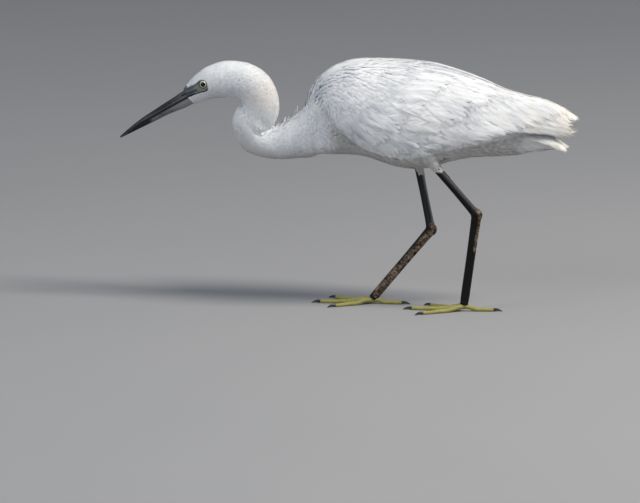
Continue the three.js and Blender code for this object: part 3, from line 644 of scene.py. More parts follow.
class Shading:
    """A new material, with short names for building its shader's nodes."""

    def __init__(self, name):
        self.material = bpy.data.materials.new(name)
        self.material.use_nodes = True
        self.tree = self.material.node_tree
        self.tree.nodes.clear()
        self.shader = self.add("BsdfPrincipled")
        self.add("OutputMaterial", {"Surface": self.shader})
        self.position = self.add("TexCoord").outputs["Object"]
        self.axes = self.parts(self.position)

    def add(self, kind, links=None, **settings):
        node = self.tree.nodes.new("ShaderNode" + kind)
        for key, value in settings.items():
            setattr(node, key, value)
        for socket, value in (links or {}).items():
            self.feed(node.inputs[socket], value)
        return node

    def feed(self, socket, value):
        if isinstance(value, bpy.types.Node):
            value = value.outputs[0]
        if isinstance(value, bpy.types.NodeSocket):
            self.tree.links.new(value, socket)
        else:
            socket.default_value = value

    def parts(self, vector):
        return list(self.add("SeparateXYZ", {0: vector}).outputs)

    def value(self, name):
        return self.add("Attribute", attribute_name=name).outputs["Fac"]

    def map(self, name):
        return self.add("UVMap", uv_map=name).outputs["UV"]

    def noise(self, scale, detail=3.0, rough=0.5, vector=None):
        links = {"Vector": vector or self.position, "Scale": scale, "Detail": detail, "Roughness": rough}
        return self.add("TexNoise", links).outputs[0]

    def cell_edges(self, scale):
        links = {"Vector": self.position, "Scale": scale}
        return self.add("TexVoronoi", links, feature="DISTANCE_TO_EDGE").outputs[0]

    def math(self, operation, a, b=0.0, clamp=False):
        return self.add("Math", {0: a, 1: b}, operation=operation, use_clamp=clamp).outputs[0]

    def times(self, a, b):
        return self.math("MULTIPLY", a, b)

    def plus(self, a, b):
        return self.math("ADD", a, b)

    def vector(self, operation, a, b):
        node = self.add("VectorMath", {0: a, "Scale" if operation == "SCALE" else 1: b}, operation=operation)
        return node.outputs["Value" if operation in ("DISTANCE", "DOT_PRODUCT") else "Vector"]

    def ramp(self, value, low, high, out_low=0.0, out_high=1.0):
        links = {"Value": value, "From Min": low, "From Max": high, "To Min": out_low, "To Max": out_high}
        return self.add("MapRange", links, interpolation_type="SMOOTHSTEP").outputs[0]

    def span(self, axis, low, high, out_low=0.0, out_high=1.0):
        """A ramp between two places on an axis of the body, in millimetres."""
        places = [place_mm(place, place, place)[axis] for place in (low, high)]
        return self.ramp(self.axes[axis], *places, out_low, out_high)

    def blend(self, factor, a, b, kind="MIX"):
        return self.add("Mix", {0: factor, 6: a, 7: b}, data_type="RGBA", blend_type=kind).outputs[2]

    def mottle(self, value, low, high, a, b):
        """Colour a where a value is low and b where it is high."""
        return self.blend(self.ramp(value, low, high), a, b)

    def paint(self, colour, where, strength, over):
        """A colour with another over it."""
        return self.blend(self.times(where, strength), colour, over)

    def near(self, centre, radius, soft):
        """1 near a place of the body, 0 away from it."""
        away = self.vector("DISTANCE", self.position, place_mm(*centre))
        return self.ramp(away, radius * MM, (radius + soft) * MM, 1.0, 0.0)

    def stroke(self, places, width, soft):
        """1 on a line drawn on the bird's side through [x, z] places, 0 away from it."""
        flat = self.vector("MULTIPLY", self.position, (1.0, 0.0, 1.0))
        nearest = None
        for ends in zip(places, places[1:]):
            start, end = (np.array(place_mm(x, 0, z)) * [1, 0, 1] for x, z in ends)
            run = end - start
            reach = self.vector("SUBTRACT", flat, tuple(start))
            share = self.vector("DOT_PRODUCT", reach, tuple(run / (run @ run)))
            foot = self.vector("SCALE", tuple(run), self.math("ADD", share, 0.0, True))
            away = self.vector("DISTANCE", reach, foot)
            nearest = away if nearest is None else self.math("MINIMUM", nearest, away)
        return self.ramp(nearest, width * MM, (width + soft) * MM, 1.0, 0.0)

    def finish(self, colour, roughness, bump=None, uniform=None):
        """The material. bump is a height, a strength and a distance, uniform numbers for further sockets."""
        inputs = self.shader.inputs
        self.feed(inputs["Base Color"], colour)
        self.feed(inputs["Roughness"], roughness)
        if bump:
            self.feed(inputs["Normal"], self.add("Bump", dict(zip(("Height", "Strength", "Distance"), bump))))
        for name, number in (uniform or {}).items():
            inputs[name].default_value = number
        return self.material


def rgb(r, g, b):
    return (r, g, b, 1.0)


def grey(value):
    return rgb(value, value, value)


WHITE = rgb(0.83, 0.84, 0.85)
SHADE = rgb(0.70, 0.72, 0.75)
CREAM = rgb(0.85, 0.80, 0.72)
PEACH = rgb(0.85, 0.76, 0.68)
# A grey for painted shade under the body and neck and at the shoulder
UNDERSIDE_SHADE = rgb(0.50, 0.49, 0.475)
# The wings' lower border, below which the underparts get painted shade, as lines from [x, z] to [x, z]
UNDERPARTS = [((-104, 202), (-76, 178)), ((-58, 168.5), (-30, 162)), ((-10, 165), (97, 188))]
UNDERPARTS_SOFT = 2.5
# Strokes of painted shade under neck and breast and in the shoulder's valley: width, softness, strength
PAINTED_SHADE_STROKES = [([(-205, 180), (-188, 163), (-160, 150), (-125, 156), (-95, 160)], 2, 14, 0.55),
          ([(-112, 206), (-104, 196), (-94, 186), (-84, 178)], 3, 9, 0.4)]
NAPE = ((-176, 0, 222), 8, 22)
FEATHER = {"Specular IOR Level": 0.28, "Sheen Weight": 0.18, "Sheen Roughness": 0.5}


def shade_below_wings(n):
    """Painted shade's mask: 1 below the wings' lower border, 0 above it and on the neck and tail."""
    border = None
    for (ax, az), (bx, bz) in UNDERPARTS:
        start, end = place_mm(ax, 0, az), place_mm(bx, 0, bz)
        slope = (end[2] - start[2]) / (end[0] - start[0])
        line = n.plus(n.times(n.axes[0], slope), start[2] - slope * start[0])
        border = line if border is None else n.math("MAXIMUM", border, line)
    low = n.ramp(n.math("SUBTRACT", border, n.axes[2]), 0.0, UNDERPARTS_SOFT * MM)
    return n.times(low, n.times(n.span(0, -106, -90), n.span(0, 90, 104, 1.0, 0.0)))


def plumage_colour(n):
    """The plumage's markings on skin, tufts and vanes, with painted shade beneath and at the shoulder."""
    colour = n.mottle(n.noise(26.0, 3.0, 0.6), 0.42, 0.68, WHITE, SHADE)
    # creamier in patches towards the rear, and creamier still at the wing tips and tail
    creamier_rear = n.times(n.span(0, 40, 150), n.ramp(n.noise(60.0, 3.0, 0.6), 0.35, 0.7))
    colour = n.paint(colour, creamier_rear, 0.7, CREAM)
    colour = n.paint(colour, n.span(0, 112, 152), 0.75, CREAM)
    colour = n.paint(colour, n.near(*NAPE), 0.45, PEACH)
    # painted shade on the underparts below the wings' border
    colour = n.paint(colour, shade_below_wings(n), 0.8, UNDERSIDE_SHADE)
    # painted shade in strokes under the neck and breast and in the valley before the shoulder
    for places, width, soft, strength in PAINTED_SHADE_STROKES:
        colour = n.paint(colour, n.stroke(places, width, soft), strength, UNDERSIDE_SHADE)
    return colour


def plumage(name, barbed):
    """White feather with a tone for each tuft or vane. A vane's barbs follow its map Barb."""
    n = Shading(name)
    tone = n.ramp(n.value("tone"), 0.0, 1.0, 0.93, 1.03)
    colour = n.blend(1.0, plumage_colour(n), n.add("CombineColor", {0: tone, 1: tone, 2: tone}), "MULTIPLY")
    if not barbed:
        return n.finish(colour, 0.72, (n.noise(900.0, 2.0), 0.25, 0.0003), FEATHER)
    across, along, _ = n.parts(n.map("Barb"))
    aside = n.math("ABSOLUTE", across)
    slant = n.math("SUBTRACT", along, n.times(aside, 0.9))
    line = n.math("SINE", n.times(n.plus(slant, n.times(n.noise(120.0, 2.0), 2.2)), 6.5))
    drawn_out = n.add("CombineXYZ", {0: n.times(aside, 0.12), 1: slant})
    split = n.ramp(n.noise(0.9, 2.0, vector=drawn_out), 0.35, 0.5)
    colour = n.blend(n.ramp(split, 0.0, 0.9, 0.16, 0.0), colour, SHADE)
    return n.finish(colour, 0.72, (n.plus(n.times(line, 0.25), split), 0.35, 0.0005), FEATHER)


def skin_material():
    """Down's colour under the feathers, and the bare skin of the face."""
    n = Shading("skin")
    bare = n.value("bare")
    grain = n.noise(700.0, 4.0, 0.65)
    cloud = n.noise(170.0, 3.0)
    lore = n.mottle(grain, 0.35, 0.65, rgb(0.15, 0.165, 0.15), rgb(0.23, 0.245, 0.22))
    slate = n.mottle(cloud, 0.35, 0.65, rgb(0.055, 0.065, 0.078), rgb(0.12, 0.13, 0.14))
    behind, before = (place_mm(x, 0, 0)[0] for x in (-242, -254))
    lore = n.blend(n.ramp(n.plus(n.axes[0], n.times(cloud, 0.004)), before, behind, 1.0, 0.0), lore, slate)
    lore = n.paint(lore, n.stroke(BROW_STRIPE, 0.7, 1.6), 0.75, rgb(0.035, 0.04, 0.05))
    lore = n.paint(lore, n.stroke(NOSTRIL_STRIPE, 0.5, 1.3), 0.9, rgb(0.018, 0.02, 0.024))
    lore = n.blend(n.stroke(GAPE[:3], 1.1, 1.2), lore, rgb(0.008, 0.008, 0.01))
    rings = [n.near(EYE_AT * [1, side, 1], 4.6, 1.0) for side in SIDES.values()]
    lore = n.paint(lore, n.math("MAXIMUM", *rings), 0.85, rgb(0.03, 0.035, 0.035))
    line = n.times(n.stroke(GAPE, 0.42, 0.5), n.ramp(bare, 0.0, 0.5))
    colour = n.blend(line, n.blend(bare, plumage_colour(n), lore), rgb(0.01, 0.01, 0.011))
    relief = n.math("SUBTRACT", grain, n.times(line, 2.0))
    return n.finish(colour, n.ramp(bare, 0.0, 1.0, 0.75, 0.46), (relief, 0.5, 0.0004))


SKIN = skin_material()
DOWN = plumage("plumage_tufts", False)
VANES = plumage("plumage_vanes", True)


# Small feathers

class Roots:
    """Places on the skin for feathers, with the skin's fields there."""

    def __init__(self, count, seed, density):
        self.rng = np.random.default_rng(seed)
        quads = skin.quads
        odds = skin.area * density[quads].mean(1)
        face = self.rng.choice(len(quads), count, p=odds / odds.sum())
        u, v = self.rng.random((2, count))
        self.corners = quads[face]
        self.weights = np.stack([(1 - u) * (1 - v), u * (1 - v), u * v, (1 - u) * v], 1)

    def field(self, values):
        """A field of the skin's vertices at the places."""
        weights = self.weights.reshape(self.weights.shape + (1,) * (values.ndim - 1))
        return (values[self.corners] * weights).sum(1)

    def nearest_field(self, values):
        pick = self.weights.argmax(1)
        return values[self.corners[np.arange(len(pick)), pick]]

    def keep(self, chosen):
        self.corners, self.weights = self.corners[chosen], self.weights[chosen]

    def thin(self, spacing):
        """Drops places that lie nearer to an earlier one than the spacing there."""
        gap = self.field(spacing)
        points = self.field(skin.points)
        keys = np.floor(points / float(gap.max())).astype(int).tolist()
        near_cells = [(a, b, c) for a in (-1, 0, 1) for b in (-1, 0, 1) for c in (-1, 0, 1)]
        grid, chosen = {}, []
        rows = zip(keys, points.tolist(), (gap ** 2).tolist())
        for i, ((kx, ky, kz), (px, py, pz), limit) in enumerate(rows):
            neighbours = (q for a, b, c in near_cells for q in grid.get((kx + a, ky + b, kz + c), ()))
            if all((px - qx) ** 2 + (py - qy) ** 2 + (pz - qz) ** 2 >= limit for qx, qy, qz in neighbours):
                grid.setdefault((kx, ky, kz), []).append((px, py, pz))
                chosen.append(i)
        self.keep(np.array(chosen))


def onto_skin(points):
    """The nearest places on the skin, and the normals there."""
    found = [skin.tree.find_nearest(point)[:2] for point in points.tolist()]
    return tuple(np.array(part, float) for part in zip(*found))


# A tuft's cross rows of points below its tips, how wide it is at each, and how deep its root goes
TUFT_ROWS = (0, 0.34, 0.7)
TUFT_SPREAD = (0.4, 0.85, 1.0)
TUFT_SINK = 0.5
TUFT_RISE = 1.9
SHORTEST_TIP = 0.06
# The side of a tuft's patch on the map OFBake
BAKE_PATCH = 0.003


def tuft_faces(barbs, count, per):
    """Triangles of count tufts with per points each: two to a cell between the rows, one to each tip."""
    faces = []
    wide = barbs + 1
    for a in (r * wide + c for r in range(len(TUFT_ROWS) - 1) for c in range(barbs)):
        faces += [(a, a + wide + 1, a + 1), (a, a + wide, a + wide + 1)]
    last = (len(TUFT_ROWS) - 1) * wide
    faces += [(last + c, last + wide + c, last + c + 1) for c in range(barbs)]
    return (np.array(faces)[None] + (np.arange(count) * per)[:, None, None]).reshape(-1, 3)


def tufts(name, roots, length, width, lift, barbs, *, fray=0.12, fan=0.25, tone=(0.2, 1), camber=0.05,
          stray=0.06, streak=0.1, free=None):
    """Tufts of barbs on the skin. length, width and lift are in millimetres, one each per root.
    free is 1 for the roots whose tufts leave the skin and run straight on."""
    rng = roots.rng
    count = len(roots.corners)
    root = roots.field(skin.points)
    normal = unit(roots.field(skin.normals))
    lie = roots.field(fields["lie"])
    lie = unit(lie + np.cross(normal, lie) * rng.normal(0, stray, count)[:, None])
    lie = laid_on(lie, normal)
    straight = root + lie * length[:, None]
    end, end_normal = onto_skin(straight)
    if free is not None:
        end = mix(end, straight, free[:, None])
    end_normal = unit(end_normal * 0.6 + normal * 0.4)
    chord = np.linalg.norm(end - root, axis=1, keepdims=True)
    end_lie = laid_on(end - root, end_normal)

    rows, wide = len(TUFT_ROWS), barbs + 1
    columns = np.linspace(-1, 1, wide)
    tips = (columns[:-1] + columns[1:]) / 2
    share = np.concatenate([np.repeat(TUFT_ROWS, wide), np.ones(barbs)])
    aside = np.concatenate([np.tile(columns, rows), tips])
    spread = np.concatenate([np.repeat(TUFT_SPREAD, wide), np.full(barbs, 1 + fan)])
    per = len(share)
    is_tip = np.arange(per) >= rows * wide

    t = np.tile(share, (count, 1))
    t[:, is_tip] += rng.uniform(-fray, fray, (count, barbs)) - 0.16 * tips ** 2
    t[:, is_tip] = np.maximum(t[:, is_tip], TUFT_ROWS[-1] + SHORTEST_TIP)
    u = np.tile(aside, (count, 1))
    u[:, is_tip] += rng.uniform(-0.5, 0.5, (count, barbs)) / barbs
    t, u = t[..., None], u[..., None]
    centre = cubic(root[:, None], (lie * chord)[:, None], end[:, None], (end_lie * chord)[:, None], t)
    out = unit(mix(normal[:, None], end_normal[:, None], t))
    forward = unit(mix(lie[:, None], end_lie[:, None], t))
    sideways = np.cross(out, forward)
    rise = 1 - (1 - np.clip(t, 0, 1)) ** TUFT_RISE
    height = -TUFT_SINK + (lift[:, None, None] + TUFT_SINK) * rise
    height -= camber * width[:, None, None] * u * u * rise
    points = centre + sideways * u * width[:, None, None] / 2 * spread[None, :, None] + out * height
    tilt = np.concatenate([np.tile(rng.normal(0, streak, (count, wide)), (1, rows)),
                           rng.normal(0, streak, (count, barbs))], 1)[..., None]
    shade = out + (0.1 * u + tilt) * sideways + 0.03 * rng.normal(size=(count, 1, 3)) + 0.08 * rise * forward

    uv = roots.nearest_field(fields["uv"])[:, None] + BAKE_PATCH * np.concatenate([u / 2, t - 0.5], -1)
    made = mesh_object(name, points.reshape(-1, 3), [tuft_faces(barbs, count, per)], DOWN,
                       maps={"OFBake": uv.reshape(-1, 2)}, normals=shade.reshape(-1, 3),
                       values={"tone": np.repeat(rng.uniform(*tone, count), per)})
    piece(made, "plumage")


# Where feathers grow on the skin, and how big they are there

skin_x, skin_y, skin_z = skin.points.T
beside = np.abs(skin_y)
names = fields["names"]
thigh_size = 0.8 - 0.3 * ramp(-skin_z, -165, -150)
FORM_SIZE = {
    "head": 0.20 + 0.28 * ramp(skin_x, -252, -212), "neck_top": 0.48 + 0.12 * ramp(-skin_z, -225, -195),
    "neck_low": 0.6 + 0.3 * ramp(skin_x, -175, -125),
    "trunk": 0.9 + 0.45 * ramp(skin_x, -110, -20) + 0.5 * ramp(skin_x, 20, 110),
    "thigh_left": thigh_size, "thigh_right": thigh_size}
WING_SIZE = 1.1 + 0.7 * ramp(skin_x, -110, -30)
# The fold's line, the wing's border and the corner of the mouth
from_fold, _, _ = along_line(CREASES["neck_fold"]["line"], skin_x, skin_z)
from_border, border_share, _ = along_line(CREASES["wing_border"]["line"], skin_x, skin_z)
from_gape, _, _ = along_line(GAPE, skin_x, skin_z)
in_fold = np.exp(-(from_fold / 4.5) ** 2) * ramp(beside, 1, 5)
near_gape = np.exp(-(from_gape / 4) ** 2)


def form_values(values):
    """Each vertex's value for the form it is on."""
    return np.choose(fields["part"], [values[name] for name in names])


def feather_size():
    size = mix(form_values(FORM_SIZE), WING_SIZE, fields["wing"])
    on_thigh = form_values({name: name.startswith("thigh") for name in names})
    size = np.where(on_thigh, thigh_size, size)
    return skin.blurred(size, 12) * (1 - 0.45 * in_fold) * (1 - 0.35 * near_gape)


def coat_depth():
    """How deep the coat is over each vertex of the skin."""
    depth = mix(form_values(COAT), COAT["wing"], fields["wing"])
    return skin.blurred(depth, 12) * (1 - 0.4 * in_fold)


def below_thighs():
    """1 on the flesh inside the shanks, past the slanting edge of the thigh's feathers."""
    below = np.zeros(len(skin.points))
    for name in SIDES:
        end, heel = np.array(THIGHS[name][-1][0]), np.array(HEELS[name])
        down = unit(heel - end)
        behind = unit(np.array([1, 0, 0]) - down * down[0])
        offset = skin.points - end
        mine = fields["part"] == names.index("thigh_" + name)
        slant = 1 + 5 * np.clip(offset @ behind / 4, -1, 1)
        below = np.maximum(below, mine * ramp(offset @ down - slant, -0.5, 0.5))
    return below


SIZE = feather_size()
DEPTH = coat_depth()
# the long wing feathers lie bare behind a slanting line across the wing
vane_line = mix(78, -28, np.clip(fields["share"], 0, 1) ** 1.4)
under_vanes = fields["wing"] * ramp(skin_x - vane_line, -6, 8)
past_thigh = below_thighs()
# no tuft is rooted on the bare face, under the vanes, inside the shanks, on the fold's line, on the wing's
# border, or on the flesh's rear end, which the tail covers but for its underside
ROOTLESS = [
    (fields["bare"], 0.3), (under_vanes, 0.5), (past_thigh, 0.5),
    ((1 - ramp(from_fold, 0.9, 1.6)) * ramp(beside, 3, 6), 0.5),
    ((1 - ramp(from_border, 0.8, 1.5)) * ramp(beside, 12, 16) * ramp(border_share, 0.25, 0.4), 0.5),
    (ramp(skin_x, 112, 118) + ramp(skin_x, 92, 100) * ramp(skin_z, 178, 181), 0.5)]


# The coat, band by band along the body

COAT_CANDIDATES = 170000
COAT_LENGTH = 13.5
COAT_WIDTH = 3.4
COAT_SPACING = 2.1
BANDS = [-400, -215, -185, -150, -110, -70, -30, 10, 60, 200]
# The tufts' least tone: in the bands of the head and upper neck, and behind them
HEAD_TONE, BODY_TONE = 0.35, 0.6
ends_of_flesh = ramp(skin_x, 108, 118)
feathered = (1 - fields["bare"]) * (1 - under_vanes) * (1 - past_thigh)
coat = Roots(COAT_CANDIDATES, 7, feathered / (0.35 + SIZE) ** 2)
coat.keep(np.all([coat.field(mask) < limit for mask, limit in ROOTLESS], axis=0))
coat.thin(COAT_SPACING * (0.36 + 0.64 * SIZE))
coat_x = coat.field(skin.points)[:, 0]
all_corners, all_weights = coat.corners, coat.weights
for number, (low, high) in enumerate(zip(BANDS, BANDS[1:])):
    band = (coat_x >= low) & (coat_x < high)
    coat.corners, coat.weights = all_corners[band], all_weights[band]
    size = coat.field(SIZE)
    length = COAT_LENGTH * size * coat.rng.uniform(0.85, 1.15, len(size))
    width = COAT_WIDTH * (0.35 + 0.65 * size) * (1 - 0.3 * coat.field(fields["wing"]))
    lift = coat.field(DEPTH) * coat.rng.uniform(0.98, 1.1, len(size))
    tufts(f"coat_{number + 1}", coat, length, width, lift, 5, fray=0.11, stray=0.04, streak=0.045,
          camber=0.03, tone=(HEAD_TONE if number < 2 else BODY_TONE, 1), free=coat.field(ends_of_flesh))

# Longer loose plumes over the wings and back, but for the ridge before the tail
back = window(skin_x, -80, -40, 20, 60) * ramp(skin.normals[:, 2], 0.5, 0.8)
plume_zone = np.maximum(fields["wing"] * (1 - under_vanes), back)
on_ridge = ramp(skin_x, 36, 46) * (1 - ramp(beside, 8, 11))
loose = Roots(16000, 11, plume_zone)
loose.keep((loose.field(plume_zone) > 0.3) & (loose.field(on_ridge) < 0.5))
loose.thin(np.full(len(skin_x), 3.5))
loose_x = loose.field(skin.points)[:, 0]
length = (20 + 16 * ramp(loose_x, -110, -20)) * loose.rng.uniform(0.85, 1.15, len(loose_x))
lift = loose.field(DEPTH) * mix(1.0, 1.15, ramp(loose_x, -90, -40))
tufts("loose_plumes", loose, length, length * 0.1, lift, 5, fray=0.3, fan=0.1, camber=0.02, stray=0.07,
      streak=0.07, tone=(0.3, 1))

# A few stray wisps on the lower neck behind the fold
wisp_zone = window(skin_x, -172, -166, -144, -136) * ramp(skin.normals[:, 2], 0.55, 0.85)
wisps = Roots(900, 23, wisp_zone)
wisps.keep(wisps.field(wisp_zone) > 0.4)
wisps.thin(np.full(len(skin_x), 5.0))
wisp_count = len(wisps.corners)
tufts("wisps", wisps, wisps.rng.uniform(6, 11, wisp_count), np.full(wisp_count, 1.9),
      wisps.rng.uniform(3.5, 7.5, wisp_count), 3, fan=1.2, stray=0.5, free=np.ones(wisp_count))

skin_object = mesh_object("skin", skin.points, [skin.quads], SKIN, values={"bare": fields["bare"]})
piece(skin_object, "plumage", "head", "neck_upper", "neck_middle", "neck_lower", "torso", "thigh_left",
      "thigh_right")


# Vanes: wing and tail feathers

VANE_THICK = 0.3
VANE_ROWS, VANE_COLUMNS = 26, 9
VANE_OUTLINE = ([0, 0.06, 0.25, 0.55, 0.8, 0.93, 1], [0.3, 0.55, 0.86, 1, 0.95, 0.75, 0.55])
SHAFT_HEIGHT, SHAFT_WIDTH = 0.32, 0.09


def vane(place, width, height, lift, rng, point, rag):
    """A closed thin vane. place(along, across, height) gives points of the surface that it lies on."""
    u = np.linspace(-1, 1, VANE_COLUMNS)
    ends = 1 - point * np.abs(u - 0.1) ** 1.6 - rng.uniform(0, rag, VANE_COLUMNS) * (np.abs(u) > 0.05)
    along = (np.linspace(0, 1, VANE_ROWS) ** 0.9)[:, None] * ends[None]
    spread = np.interp(along, *VANE_OUTLINE)
    half = width / 2 * spread
    across = u[None] * half
    rachis = np.exp(-((u[None] + 0.02) / SHAFT_WIDTH) ** 2) * (1 - along * 0.75) * SHAFT_HEIGHT
    crown = -0.22 * (u[None] ** 2) * half / 3
    raised = lift * np.minimum(1, along / 0.45) * (u[None] + 1) / 2
    ripple = 0.12 * np.sin(along * 22 + u[None] * 3 + rng.uniform(0, 6)) * np.abs(u[None])
    middle = mix(*height, along) + raised + crown + ripple
    top = place(along, across, middle + rachis)
    under = place(along, across * 0.995, middle - VANE_THICK * np.interp(along, [0, 0.6, 1], [1, 0.7, 0.3]))
    points = np.concatenate([top.reshape(-1, 3), under.reshape(-1, 3)])
    index = np.arange(along.size).reshape(along.shape)
    quads = np.stack([index[:-1, :-1], index[:-1, 1:], index[1:, 1:], index[1:, :-1]], -1).reshape(-1, 4)
    rim = np.concatenate([index[0, :], index[1:, -1], index[-1, -2::-1], index[-2:0:-1, 0]])
    following = np.roll(rim, -1)
    wall = np.stack([following, rim, rim + along.size, following + along.size], 1)
    local = np.stack([across, along * 100], -1).reshape(-1, 2)
    flat = np.stack([u[None] / 2 * spread + 0.5, along], -1).reshape(-1, 2)
    faces = np.vstack([quads, quads[:, ::-1] + along.size, wall])
    return points, faces, np.vstack([local, local]), np.vstack([flat, flat])


def vanes_object(name, made, rng, node, columns=10):
    """One object of many vanes. Each has its own patch of the map OFBake."""
    barbs, bake, tones = [], [], []
    rows = math.ceil(len(made) / columns)
    for i, (points, _, local, flat) in enumerate(made):
        barbs.append(local + [0, rng.uniform(0, 50)])
        bake.append((np.array([i % columns, i // columns]) + 0.04 + 0.92 * flat) / [columns, rows])
        tones.append(np.full(len(points), rng.uniform(0.35, 1)))
    points, quads = stacked(made)
    maps = {"OFBake": np.vstack(bake), "Barb": np.vstack(barbs)}
    piece(mesh_object(name, points, [quads], VANES, maps=maps, values={"tone": np.concatenate(tones)}),
          "plumage", node)


# How far a plume's barbs reach, by the share along its shaft, and how they lean together in clumps
BARB_REACH = smooth([[0, .4], [.12, .75], [.35, .98], [.6, 1], [.8, .88], [.93, .6], [1, .3]])
CLUMP_LEAN = 0.35
PLUME_SHAFT = 0.35


def plume(place, length, width, height, lift, rng, slant, *, pitch=1.3, clump=4, edge_fall=0.22):
    """A feather as two webs of barbs that run out and forward from its shaft, in clumps."""
    count = max(8, int(length / pitch))
    number = np.arange(count)
    strips, sides, groups = [], [], []
    for side in (-1, 1):
        root = (number + 0.5 + rng.uniform(-0.25, 0.25, count)) / count * 0.96 + 0.01
        reach = width / 2 * BARB_REACH(root) * (1 + rng.normal(0, 0.07, count))
        slope = np.radians(mix(slant[0], slant[1], root) + rng.normal(0, 1.5, count))
        group = np.floor(number / clump + rng.uniform()).astype(int)
        middle = np.bincount(group, root) / np.maximum(np.bincount(group), 1)
        lean = (middle[group] - root) * CLUMP_LEAN
        q = np.array([0, 0.45, 1])
        across = side * reach[:, None] * q
        forward = reach[:, None] / np.tan(slope)[:, None] / length * q ** 1.2
        along = root[:, None] + forward + lean[:, None] * q
        along = np.minimum(along, 1.02 + 0.02 * rng.uniform(-1, 1, (count, 1)))
        half = pitch * 0.85 / length * np.array([1, 0.95, 0.1])
        groups.append(group + (side > 0) * (count + 1))
        strips.append(np.stack([along - half, along + half], -1))
        sides.append(np.stack([across, across], -1))
    along, across = np.concatenate(strips), np.concatenate(sides)
    edge = np.broadcast_to(np.array([-1.0, 1.0]), along.shape)
    fan = np.clip(across / (width / 2), -1, 1)
    raised = mix(*height, along) + lift * np.minimum(1, along / 0.45) * (fan + 1) / 2
    raised = raised - edge_fall * fan ** 2 + 0.05 * edge
    raised = raised + PLUME_SHAFT * np.exp(-(across / 0.5) ** 2) * (1 - along * 0.8) * 0.5
    points = place(along, across, raised)
    ahead = place(along + 0.01, across, raised) - place(along - 0.01, across, raised)
    aside = place(along, across + 0.3, raised) - place(along, across - 0.3, raised)
    out = unit(np.cross(aside, ahead))
    out *= np.sign(((place(along, across, raised + 1) - points) * out).sum(-1, keepdims=True))
    clumps = np.concatenate(groups)
    tilt, shade = (rng.normal(0, spread, clumps.max() + 1)[clumps][:, None, None] for spread in (0.1, 0.16))
    normals = out + tilt[..., None] * unit(aside) + 0.12 * unit(ahead) * edge[..., None]
    normals = normals + 0.04 * rng.normal(size=3)
    index = np.arange(along.size).reshape(along.shape)
    a, b, c, d, e, f = (index[:, i, j] for i in range(3) for j in range(2))
    tris = np.concatenate([np.stack(t, 1) for t in ((a, b, d), (a, d, c), (c, d, f), (c, f, e))])
    flat = points.reshape(-1, 3)
    cross = np.cross(flat[tris[:, 1]] - flat[tris[:, 0]], flat[tris[:, 2]] - flat[tris[:, 0]])
    away = (cross * out.reshape(-1, 3)[tris[:, 0]]).sum(1) < 0
    tris[away] = tris[away][:, ::-1]
    local = np.stack([fan / 2, along - 0.5], -1)
    shade = np.broadcast_to(shade, along.shape).ravel()
    return flat, tris, normals.reshape(-1, 3), local.reshape(-1, 2), shade


def plumes_object(name, made, rng, spots, tone):
    """One object of many plumes. spots are their patches' places on the skin's unwrap."""
    uv = [np.array(spot) + BAKE_PATCH * part[3] for part, spot in zip(made, spots)]
    tones = [np.clip(rng.uniform(*tone) + part[4], 0, 1) for part in made]
    points, tris = stacked(made)
    normals = np.vstack([part[2] for part in made])
    piece(mesh_object(name, points, [tris], DOWN, maps={"OFBake": np.vstack(uv)}, normals=normals,
                      values={"tone": np.concatenate(tones)}), "plumage")


# Rows of wing feathers, from the uppermost to the lowest: roots and tips are [x, share across the wing]
VANE_LINES = {
    "primary": dict(
        count=8, width=9, height=(-.5, -.1), lift=.8, bow=.02, point=.3, rag=.1,
        root=[(34, .2), (22, .8)], tip=[(155, .1), (149, .42), (147, .72), (151, 1.02)]),
    "secondary": dict(
        count=14, width=14, height=(.4, 1.0), lift=.7, bow=.03, point=.14, rag=.06,
        root=[(10, .24), (-70, .84)],
        tip=[(142, .11), (137, .37), (127, .61), (113, .79), (97, .9), (79, .97), (56, 1), (28, 1), (-4, 1)])}
# Rows of loose-barbed feathers over them
PLUME_LINES = {
    "greater_covert": dict(
        count=16, width=15, height=(-2.2, .9), lift=.6, bow=.02, slant=(34, 15),
        root=[(-34, .42), (-84, .72)], tip=[(62, .42), (48, .58), (22, .78), (-8, .94), (-38, 1.02)]),
    "median_covert": dict(
        count=14, width=13, height=(-2.2, 1), lift=.5, bow=.02, slant=(34, 15),
        root=[(-64, .3), (-98, .6)], tip=[(30, .32), (8, .5), (-24, .72), (-58, .9)]),
    "scapular": dict(
        count=10, width=14, height=(-2.2, .8), lift=.4, bow=-.015, slant=(30, 12),
        root=[(-40, .06), (-52, .34)], tip=[(122, .06), (102, .16), (76, .28), (46, .38)]),
    "mantle": dict(
        count=7, width=13, height=(-2.2, .8), lift=.3, bow=-.01, slant=(28, 12),
        root=[(-66, .03), (-76, .3)], tip=[(82, .04), (56, .14), (20, .24)]),
    "ridge": dict(
        count=7, width=12, height=(-2.2, .3), lift=0, bow=0, slant=(28, 12),
        root=[(-24, -.01), (76, -.01)], tip=[(52, -.01), (128, -.01)])}
# Along a vane run barbs of its own, a little over it and wider than it
OVER_VANE, PAST_VANE = 0.2, 1.5
# A feather's bow is a share of this angle in degrees
FULL_BOW = 57


def along_list(points, t):
    at = t * (len(points) - 1)
    i = min(int(at), len(points) - 2)
    return mix(np.array(points[i], float), np.array(points[i + 1], float), at - i)


def core_height(x, degrees):
    """How far the wing's core stands over the trunk's surface."""
    share = share_across_wing(x, degrees) / CORE_REACH(x)
    return WING_CORE_THICK(x) * WING_CORE_RIM(np.clip(share, 0, 1))


